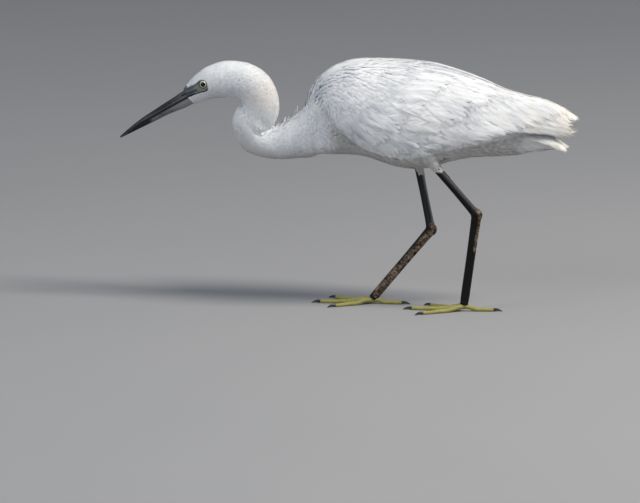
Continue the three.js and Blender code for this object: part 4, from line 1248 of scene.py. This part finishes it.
def on_wing(side, root, tip, bow, over_core):
    """The surface along a wing feather from its root to its tip, both [x, share across the wing]."""
    def middle(along):
        x = mix(root[0], tip[0], along)
        bend = bow * FULL_BOW * np.sin(math.pi * np.clip(along, 0, 1))
        return x, wing_angle(x, mix(root[1], tip[1], along)) + bend

    def place(along, across, height):
        x, degrees = middle(along)
        high = height * mix(0.3, 1, ramp(degrees, 2, 16)) + (core_height(x, degrees) if over_core else 0)
        here = wing_point(side, x, degrees, high)
        ahead, behind = (wing_point(side, *middle(along + step), high) for step in (0.01, -0.01))
        run = unit(ahead - behind)
        per_x = wing_point(side, x + 1, degrees, high) - here
        per_degree = wing_point(side, x, degrees + 1, high) - here
        down = unit(np.cross(np.cross(per_degree, per_x), run))
        down *= np.sign((down * per_degree).sum(-1, keepdims=True))
        xx, xd, dd = (per_x ** 2).sum(-1), (per_x * per_degree).sum(-1), (per_degree ** 2).sum(-1)
        x_want, d_want = (per_x * down).sum(-1) * across, (per_degree * down).sum(-1) * across
        scale = xx * dd - xd * xd
        return wing_point(side, x + (x_want * dd - d_want * xd) / scale,
                          degrees + (d_want * xx - x_want * xd) / scale, high)

    return place


def wing_spot(side, x, share):
    """A place of the wing on the skin's unwrap."""
    along = np.clip((x - TRUNK_ENDS[0]) / (TRUNK_ENDS[1] - TRUNK_ENDS[0]), 0, 1)
    return unwrapped("trunk", along, side * np.radians(wing_angle(x, share)))


def wing(side_name, side):
    rng = np.random.default_rng(31 + side)
    vanes, barbs, spots = [], [], []
    for spec in (*VANE_LINES.values(), *PLUME_LINES.values()):
        width, height, lift = spec["width"], spec["height"], spec["lift"]
        for i in range(spec["count"]):
            t = i / (spec["count"] - 1)
            root, tip = along_list(spec["root"], t), along_list(spec["tip"], t)
            if "slant" in spec:
                tip = tip + [rng.uniform(-8, 8), rng.uniform(-0.03, 0.03)]
                place = on_wing(side, root, tip, spec["bow"], True)
                barbs.append(plume(place, tip[0] - root[0], width, height, lift, rng, spec["slant"],
                                   pitch=1.1, edge_fall=1.1))
            else:
                tip = tip + [rng.uniform(-1.5, 1.5), 0]
                place = on_wing(side, root, tip, spec["bow"], False)
                vanes.append(vane(place, width, height, lift, rng, spec["point"], spec["rag"]))
                over = (height[0] + OVER_VANE, height[1] + OVER_VANE)
                barbs.append(plume(place, tip[0] - root[0], width + PAST_VANE, over, lift, rng, (32, 17)))
            spots.append(wing_spot(side, *root))
        if spec is VANE_LINES["secondary"]:
            vanes_object(f"wing_vanes_{side_name}", vanes, rng, f"wing_{side_name}")
    plumes_object(f"wing_barbs_{side_name}", barbs, rng, spots, (0.4, 1))


for side_name, side in SIDES.items():
    wing(side_name, side)

# The tail's feathers lie in an arch whose ridge bends down: one in the middle, and pairs under it
TAIL = dict(ends=(74, 143.5), pairs=5, width=10.5, level=0.35, radius=(19, 12.5), spread=(1.8, 1.05))
TAIL_BARBS = dict(length=68, width=11.5, height=(0.25, 0.25), lift=0, slant=(30, 14), clump=5)
TAIL_RIDGE = smooth([[70, 196], [88, 193], [104, 191], [120, 187.5], [132, 182.5], [144, 174]])
TAIL_SPOT = (0.92, 0.5)


def tail_feather(side, level):
    shift = 0 if side == 0 else TAIL["width"] / 2 + 0.4

    def place(along, across, height):
        x = mix(*TAIL["ends"], along) - along * level * 1.9
        aside = side * (shift * (0.6 + 0.42 * along) + level * mix(*TAIL["spread"], along)) + across
        radius = mix(*TAIL["radius"], along)
        reach = radius + height - level * TAIL["level"]
        z = TAIL_RIDGE(x) - radius + np.cos(aside / radius) * reach
        return np.stack([x, np.sin(aside / radius) * reach, z], -1)

    return place


def tail():
    rng = np.random.default_rng(5)
    places = [tail_feather(0, 0)]
    places += [tail_feather(side, level) for level in range(1, TAIL["pairs"] + 1) for side in SIDES.values()]
    vanes = [vane(place, TAIL["width"], (0, 0), 0, rng, point=0.4, rag=0.08) for place in places]
    vanes_object("tail_feathers", vanes, rng, "tail")
    barbs = [plume(place, rng=rng, **TAIL_BARBS) for place in places]
    plumes_object("tail_barbs", barbs, rng, [TAIL_SPOT] * len(barbs), (0.2, 1))


tail()


# Bill

BILL_BASE = np.array([-254.5, 216.6])
BILL_TIP = np.array([-328.6, 173.2])
BILL_LENGTH = float(np.linalg.norm(BILL_TIP - BILL_BASE))
BILL_WIDE = smooth([[-6, 5.6], [0, 5.9], [22, 5.1], [52, 3.5], [75, 1.9], [84, 1.0], [87, .5]])
# The ridge, the line where the mandibles meet and the keel, as heights from the line from base to tip
BILL_RIDGE = smooth([
    [-6, 8.6], [0, 9.8], [7, 9.6], [13, 9.1], [26, 8.4], [39, 7.5], [52, 6.7], [65, 5.1], [75, 3.4],
    [84, 1.5], [87, .7]])
BILL_JOIN = smooth([[-6, 1.5], [0, 1.7], [20, 2], [45, 2.1], [60, 1.6], [75, .7], [87, 0]])
BILL_KEEL = smooth([
    [-6, -6], [0, -6.8], [10, -6.4], [16, -5.4], [21, -4.7], [33, -3.5], [45, -3], [57, -2.2], [69, -1.5],
    [80, -.9], [87, -.3]])
BILL_RUN_IN = -6
HALF_GAP = 0.09


def bill_point(s, y, h):
    cos, sin = (BILL_TIP - BILL_BASE) / BILL_LENGTH
    return np.stack([BILL_BASE[0] + cos * s + sin * h, y + 0 * s, BILL_BASE[1] + sin * s - cos * h], -1)


JOIN_STRIPE = [tuple(bill_point(s, 0, BILL_JOIN(s))[[0, 2]]) for s in (-4.0, 10.0, 30.0, 50.0, 75.0)]


def mandible(name, edge, direction, look, slot, node):
    s = np.concatenate([np.linspace(BILL_RUN_IN, 0, 7)[:-1], BILL_LENGTH * np.linspace(0, 1, 90) ** 0.92])
    s[-1] = BILL_LENGTH
    arc = np.linspace(0, math.pi, 33)
    wide = BILL_WIDE(s)[:, None] * np.cos(arc)[None]
    bulge = np.sin(arc)[None] ** 0.85
    high = np.abs(edge(s) - BILL_JOIN(s))[:, None]
    if direction > 0:
        # the groove that runs forward from the nostril, below the ridge
        groove = np.exp(-((bulge - 0.5) * high / 0.8) ** 2) * window(s, -2, 6, 30, 60)[:, None]
        wide = wide * (1 - 0.2 * groove)
    flat = -BILL_WIDE(s)[:, None] * np.linspace(1, -1, 17)[1:-1][None]
    across = np.concatenate([wide, flat], 1)
    up = np.concatenate([HALF_GAP + bulge * high, HALF_GAP + 0 * flat], 1) * direction + BILL_JOIN(s)[:, None]
    points, faces = loft(bill_point(s[:, None] + 0 * across, across, up))
    piece(mesh_object(name, points, outward(points, faces), look), slot, node)


HORN = {
    "bill_dark": dict(clouds=(0.3, 0.7), edge=(0.72, 1.08),
                      light=(rgb(0.035, 0.042, 0.052), rgb(0.085, 0.094, 0.104))),
    # The lower mandible: pale horn, its colour darkened with painted shade of the bill's underside
    "bill_pale": dict(clouds=(0.35, 0.65), edge=(0.34, 0.5),
                      light=(rgb(0.15, 0.15, 0.155), rgb(0.10, 0.098, 0.102)))}


def horn(name):
    """Black horn, lighter towards the bill's base, with a dark line where its halves meet."""
    n = Shading(name)
    look = HORN[name]
    share = n.span(0, BILL_TIP[0], BILL_BASE[0])
    drawn_out = n.add("Mapping", {0: n.position, 2: (0.0, math.radians(-30.4), 0.0), 3: (0.12, 1.0, 1.0)})
    grain = n.noise(900.0, 3.0, 0.6, drawn_out)
    dark = n.mottle(grain, 0.35, 0.7, rgb(0.006, 0.0065, 0.009), rgb(0.022, 0.023, 0.03))
    light = n.mottle(n.noise(160.0, 2.0), *look["clouds"], *look["light"])
    if name == "bill_pale":
        light = n.blend(n.ramp(share, 0.78, 1.02), light, grey(0.24))
        light = n.blend(n.ramp(grain, 0.45, 0.8, 0.0, 0.4), light, rgb(0.29, 0.285, 0.28))
    ragged = n.plus(share, n.times(n.math("SUBTRACT", grain, 0.5), 0.3))
    colour = n.mottle(ragged, *look["edge"], dark, light)
    if name == "bill_dark":
        colour = n.blend(n.stroke(NOSTRIL_STRIPE, 0.5, 1.3), colour, rgb(0.012, 0.012, 0.016))
    colour = n.blend(n.stroke(JOIN_STRIPE, 0.5, 0.8), colour, rgb(0.003, 0.003, 0.004))
    return n.finish(colour, n.ramp(grain, 0.3, 0.7, 0.30, 0.46), (grain, 0.25, 0.0002),
                    {"Specular IOR Level": 0.25})


mandible("bill_upper_horn", BILL_RIDGE, 1, horn("bill_dark"), "bill", "bill_upper")
mandible("bill_lower_horn", BILL_KEEL, -1, horn("bill_pale"), "bill_pale", "bill_lower")


# Eyes and lids

PUPIL = 2.6
IRIS = 3.65
EYEBALL = dict(radius=EYE_RADIUS - 0.1, bulge=0.25, rows=48, count=64)
LID = dict(out=1.75, ring=4.15, thick=0.7, steps=64, sides=16)


def eyeball(centre, side, radius, bulge, rows, count):
    """A ball with its pole outward, and its map: angle from the pole, and angle round it."""
    polar = np.linspace(0, math.pi, rows + 1)
    around = np.linspace(0, 2 * math.pi, count, endpoint=False)
    reach = radius + bulge * np.exp(-(polar / 0.55) ** 2)
    ring = (reach * np.sin(polar))[:, None]
    outer = side * (reach * np.cos(polar))[:, None] + 0 * around[None]
    points = (np.stack([ring * np.cos(around), outer, ring * np.sin(around)], -1) + centre).reshape(-1, 3)
    index = np.arange((rows + 1) * count).reshape(rows + 1, count)
    flat = np.stack([np.repeat(polar, count) / math.pi, np.tile(around, rows + 1) / (2 * math.pi)], -1)
    after = np.roll(index, -1, 1)
    quads = np.stack([index[:-1], after[:-1], after[1:], index[1:]], -1).reshape(-1, 4)
    return points, outward(points, [quads]), flat


def eye_material():
    n = Shading("eye")
    polar, around, _ = n.parts(n.map("Polar"))
    pupil, iris = (math.asin(radius / EYE_RADIUS) / math.pi for radius in (PUPIL, IRIS))
    spokes = n.add("CombineXYZ", {0: n.times(around, 60.0), 1: n.times(polar, 14.0)})
    rays = n.noise(1.0, 3.0, vector=spokes)
    yellow = n.mottle(rays, 0.35, 0.65, rgb(0.62, 0.61, 0.46), rgb(0.80, 0.79, 0.66))
    colour = n.mottle(polar, iris * 0.82, iris, yellow, rgb(0.33, 0.30, 0.12))
    colour = n.mottle(polar, pupil, pupil * 1.25, rgb(0.50, 0.46, 0.24), colour)
    colour = n.mottle(polar, pupil * 0.94, pupil * 1.05, rgb(0.004, 0.004, 0.005), colour)
    colour = n.mottle(polar, iris * 0.98, iris * 1.06, colour, rgb(0.02, 0.022, 0.025))
    return n.finish(colour, 0.25, uniform={"Specular IOR Level": 0.2, "Coat Weight": 0.3,
                                           "Coat Roughness": 0.03})


def lid_points(side, ring, thick, out, steps, sides):
    """The bare rim round the eye, lower and flatter in front and behind."""
    around = np.linspace(0, 2 * math.pi, steps, endpoint=False)
    angle = np.linspace(0, 2 * math.pi, sides, endpoint=False)
    corner = 0.16 * np.abs(np.cos(around)) ** 6
    fat = thick * (1 - 0.35 * np.abs(np.cos(around)) ** 4) * (1 + 0.06 * np.sin(around * 24))
    radial = np.stack([np.cos(around), 0 * around, 0.93 * np.sin(around)], -1)
    axis = np.array([0, side, 0])
    middle = EYE_AT * [1, side, 1] + radial * (ring * (1 + corner))[:, None]
    middle = middle + axis * (out - 3 * corner)[:, None]
    ringed = (middle[:, None] + radial[:, None] * (fat[:, None] * np.cos(angle)[None])[..., None]
              + axis * (fat[:, None] * np.sin(angle)[None])[..., None])
    points = ringed.reshape(-1, 3)
    index = np.arange(steps * sides).reshape(steps, sides)
    after = np.roll(index, -1, 0)
    quads = np.stack([index, after, np.roll(after, -1, 1), np.roll(index, -1, 1)], -1).reshape(-1, 4)
    return points, outward(points, [quads])


def grained(name, scale, low, high, dark, light, roughness, bump):
    """Plain matt skin or horn, mottled with a fine grain."""
    n = Shading(name)
    grain = n.noise(scale, 3.0, 0.6)
    return n.finish(n.mottle(grain, low, high, dark, light), roughness, (grain, *bump))


EYE_LOOK = eye_material()
LID_LOOK = grained("lid", 1500.0, 0.35, 0.65, rgb(0.035, 0.042, 0.045), rgb(0.10, 0.115, 0.11), 0.45,
                   (0.6, 0.0003))
for side_name, side in SIDES.items():
    points, faces, flat = eyeball(EYE_AT * [1, side, 1], side, **EYEBALL)
    eye = mesh_object(f"eyeball_{side_name}", points, faces, EYE_LOOK, maps={"Polar": flat})
    piece(eye, "eye", f"eye_{side_name}")
    piece(mesh_object(f"eyelid_{side_name}", *lid_points(side, **LID), LID_LOOK), "bill")


# Legs, toes and claws

# Stations along a straight limb: share of its length, half-height, half-width
SHANK = [(0, 4.6, 4.14), (0.5, 4.1, 3.608), (0.84, 4.346, 3.895), (1, 5, 4.75)]
SHANK_RUN_IN = -0.12
TARSUS = [(0, 5.4, 4.86), (0.16, 4.968, 3.91), (0.55, 4.6, 3.68), (0.88, 4.6, 3.956), (1, 4.2, 4.2)]
KNOB = (6.1, 5.2, 6.8)
# Each toe's name, heading in degrees, length and radius
TOES = [("inner", 31, 44, 2.5), ("middle", 0, 55, 2.7), ("outer", -33, 48, 2.5), ("hind", 176, 31, 2.4)]
# Stations of a toe after its root: share of its length, height, and half-sizes as shares of its radius
TOE = [(0.2, 4.6, 1.02, 1.05), (0.42, 2.5, 1, 1.1), (0.62, 2.5, 0.84, 0.9), (0.8, 2.1, 0.84, 0.92),
       (1, 2.3, 0.7, 0.7)]
TOE_ROOT = dict(below=1.5, size=1.25)
# Stations of a claw: distance from its base, height, half-height, half-width
CLAW = [(-1.2, 2.35, 1.7, 1.275), (3.6, 2.5, 1.36, 1.02), (6.75, 1.75, 0.85, 0.68), (9, 0.8, 0.25, 0.25)]
CLAW_GAP = 0.35
SOLE = 0.45
LEG_VOXEL, FOOT_VOXEL = 0.55, 0.5
# Strokes on the legs' sides: painted highlights on their edges and the far shank's middle, and dried mud
NEAR_RIM_HIGHLIGHT = [(14, 151.5), (54, 108)]
FAR_MIDDLE_HIGHLIGHT = [(-14, 146), (-2, 86)]
FAR_RIM_HIGHLIGHT = [(-10.5, 146), (3, 84)]
ANKLE_MUD = [(56.5, 107), (58, 101), (57.5, 93)]
TARSUS_MUD = [(56, 93), (53, 80), (51, 66)]
FAR_MUD = [(2, 86), (2.5, 77), (-9, 67), (-34, 38), (-58, 12)]


def scaled_rings(limb, steps, sides, plates, depth):
    """Rings along a limb with the edges of its front plates raised."""
    rings = limb.rings(steps, sides)
    t = np.linspace(0, 1, steps + 1)
    saw = (t * plates) % 1
    raised = depth * (saw ** 3)
    angle = np.linspace(0, 2 * math.pi, sides, endpoint=False)
    front = np.clip(np.cos(angle), 0, 1) ** 0.5
    centre = limb.place(t)[:, None]
    return rings + unit(rings - centre) * (raised[:, None] * front[None])[..., None]


def scaly(n, colour, cells, grain, strength, line, roughness, uniform=None):
    """Finishes scaled skin: the lines between its scales, and their relief."""
    colour = n.blend(n.ramp(cells, 0.0, 0.12, strength, 0.0), colour, line)
    relief = n.plus(n.ramp(cells, 0.0, 0.2), n.times(grain, 0.3))
    return n.finish(colour, roughness, (relief, 0.5, 0.0004), uniform)


def leg_material():
    n = Shading("leg_skin")
    grain = n.noise(900.0, 3.0, 0.6)
    near = n.span(1, -3, 3, 1.0, 0.0)
    far = n.math("SUBTRACT", 1.0, near)
    dark = n.mottle(grain, 0.35, 0.7, rgb(0.003, 0.003, 0.0035), rgb(0.012, 0.012, 0.011))
    # painted highlights: the near shank's rim, the far shank's middle and its rim
    dark = n.paint(dark, n.times(n.stroke(NEAR_RIM_HIGHLIGHT, 1.0, 3.6), near), 0.7, rgb(0.11, 0.11, 0.112))
    dark = n.paint(dark, n.times(n.stroke(FAR_MIDDLE_HIGHLIGHT, 1.5, 3.0), far), 0.8, rgb(0.035, 0.036, 0.038))
    dark = n.paint(dark, n.times(n.stroke(FAR_RIM_HIGHLIGHT, 0.8, 2.6), far), 0.9, grey(0.34))
    ankle = n.math("MAXIMUM", n.stroke(ANKLE_MUD, 2.4, 3.0), n.stroke(TARSUS_MUD, 1.2, 2.6))
    dirt = n.math("MAXIMUM", n.times(near, ankle), n.times(n.stroke(FAR_MUD, 2.2, 4.5), far))
    patchy = n.times(dirt, n.ramp(n.noise(190.0, 4.0, 0.65), 0.36, 0.6))
    mud = n.mottle(n.noise(420.0, 3.0, 0.6), 0.4, 0.6, rgb(0.36, 0.26, 0.18), rgb(0.10, 0.066, 0.044))
    return scaly(n, n.blend(patchy, dark, mud), n.cell_edges(620.0), grain, 0.5, grey(0.008),
                 n.ramp(patchy, 0.0, 1.0, 0.42, 0.8), {"Specular IOR Level": 0.12})


def foot_material():
    """Yellow-green toes that turn black up the leg."""
    n = Shading("foot_skin")
    grain = n.noise(700.0, 3.0, 0.6)
    yellow = n.mottle(grain, 0.35, 0.7, rgb(0.40, 0.36, 0.085), rgb(0.30, 0.29, 0.10))
    colour = n.blend(n.ramp(n.axes[2], 0.006, 0.014), yellow, rgb(0.03, 0.03, 0.026))
    return scaly(n, colour, n.cell_edges(700.0), grain, 0.55, rgb(0.07, 0.06, 0.02), 0.5)


LEG_LOOK = leg_material()
FOOT_LOOK = foot_material()
CLAW_LOOK = grained("claw", 1100.0, 0.35, 0.7, rgb(0.012, 0.011, 0.01), rgb(0.05, 0.043, 0.035), 0.35,
                    (0.2, 0.0002))


def straight_limb(start, end, stations):
    return Limb([(between(start, end, share), tall, wide) for share, tall, wide in stations])


def knob(centre):
    """The swelling at the ankle."""
    polar = np.linspace(0.02, math.pi - 0.02, 24)[:, None]
    around = np.linspace(0, 2 * math.pi, 32, endpoint=False)
    ring = np.sin(polar)
    ball = np.stack([ring * np.cos(around), ring * np.sin(around), np.cos(polar) + 0 * around], -1)
    return ball * KNOB + centre


def evened(lofts, voxel, rounds):
    surface = Surface(*remeshed(*merged(lofts), voxel))
    surface.relax(rounds)
    return surface.points, surface.quads


def on_sole(points):
    """Points no lower than the sole's flat."""
    return np.concatenate([points[..., :2], np.maximum(points[..., 2:], SOLE)], -1)


def toe_and_claw(name, ball_at, angle, length, radius):
    turn = math.radians(HEADINGS[name] + angle)
    dx, dy = -math.cos(turn), -SIDES[name] * math.sin(turn)

    def point(s, z):
        return ball_at[0] + dx * s, ball_at[1] + dy * s, z

    root = (point(0, ball_at[2] - TOE_ROOT["below"]), radius * TOE_ROOT["size"], radius * TOE_ROOT["size"])
    toe = Limb([root] + [(point(length * s, z), radius * tall, radius * wide) for s, z, tall, wide in TOE])
    claw = Limb([(point(length + CLAW_GAP + s, z), tall, wide) for s, z, tall, wide in CLAW])
    return loft(on_sole(scaled_rings(toe, 110, 28, length / 2.4, 0.16))), loft(claw.rings(30, 20))


def leg(name):
    heel, ball_at = HEELS[name], BALLS[name]
    shank = straight_limb(between(THIGHS[name][-1][0], heel, SHANK_RUN_IN), heel, SHANK)
    tarsus = straight_limb(heel, ball_at, TARSUS)
    rings = [scaled_rings(shank, 90, 32, 16, 0.12), scaled_rings(tarsus, 160, 32, 30, 0.22), knob(heel)]
    points, quads = evened([loft(ring) for ring in rings], LEG_VOXEL, 3)
    piece(mesh_object(f"leg_{name}", points, [quads], LEG_LOOK), "leg", f"shank_{name}", f"tarsus_{name}")
    toes, claws = zip(*(toe_and_claw(name, ball_at, *spec) for _, *spec in TOES))
    points, quads = evened(toes, FOOT_VOXEL, 2)
    piece(mesh_object(f"toes_{name}", on_sole(points), [quads], FOOT_LOOK), "foot", f"foot_{name}")
    piece(mesh_object(f"claws_{name}", *merged(claws), CLAW_LOOK), "claw",
          *(f"claw_{name}_{toe_name}" for toe_name, *_ in TOES))


for side_name in SIDES:
    leg(side_name)


# Floor, light and camera

FLOOR_HALF = 14.0
LIGHTS_AIM = (-60, 0, 190)
LIGHTS = {
    "key": dict(direction=(0.64, -0.2, 0.75), distance=3.0, size=1.0, power=92, colour=(1.0, 0.95, 0.88)),
    "fill": dict(direction=(-0.78, -0.82, 0.6), distance=4.0, size=2.2, power=54, colour=(0.91, 0.955, 1.0))}
SKY_COLOUR, SKY_STRENGTH = rgb(0.82, 0.89, 1.0), 0.32
CAMERA_TURN = 8
CAMERA_HEIGHT = 10
CAMERA_DISTANCE = 7000
FIELD_WIDTH = 672
AIM = (-115.5, 58.3)
SENSOR = 36


def floor():
    mesh = bpy.data.meshes.new("floor")
    corners = [(x * FLOOR_HALF, y * FLOOR_HALF, 0) for x, y in ((-1, -1), (1, -1), (1, 1), (-1, 1))]
    mesh.from_pydata(corners, [], [(0, 1, 2, 3)])
    n = Shading("floor")
    pale = n.blend(n.noise(2.0, 2.0), rgb(0.30, 0.302, 0.31), rgb(0.325, 0.325, 0.332))
    mesh.materials.append(n.finish(pale, 0.9))
    add_object("floor", mesh)


def turn_to(obj, direction):
    """Turns a light or a camera to look against a direction."""
    obj.rotation_mode = "QUATERNION"
    obj.rotation_quaternion = Vector(direction).to_track_quat("Z", "Y")


def area_light(name, direction, distance, size, power, colour):
    light = bpy.data.lights.new(name, "AREA")
    light.shape = "DISK"
    light.size = size
    light.energy = power
    light.color = colour
    obj = add_object(name, light)
    direction = Vector(direction).normalized()
    obj.location = Vector(place_mm(*LIGHTS_AIM)) + direction * distance
    turn_to(obj, direction)


def lights():
    world = bpy.data.worlds.new("sky")
    world.use_nodes = True
    background = world.node_tree.nodes["Background"]
    background.inputs[0].default_value = SKY_COLOUR
    background.inputs[1].default_value = SKY_STRENGTH
    bpy.context.scene.world = world
    for name, spec in LIGHTS.items():
        area_light(name, **spec)


def camera():
    turn, rise = math.radians(CAMERA_TURN), math.radians(CAMERA_HEIGHT)
    back = np.array([math.sin(turn) * math.cos(rise), -math.cos(turn) * math.cos(rise), math.sin(rise)])
    right = np.array([math.cos(turn), math.sin(turn), 0])
    data = bpy.data.cameras.new("camera")
    data.sensor_width = SENSOR
    data.lens = SENSOR * CAMERA_DISTANCE / FIELD_WIDTH
    data.clip_start, data.clip_end = 0.1, 100
    obj = add_object("camera", data)
    obj.location = row(right * AIM[0] + np.cross(back, right) * AIM[1] + back * CAMERA_DISTANCE)
    turn_to(obj, back)
    bpy.context.scene.camera = obj


floor()
lights()
camera()
bpy.context.scene.view_settings.view_transform = "Standard"
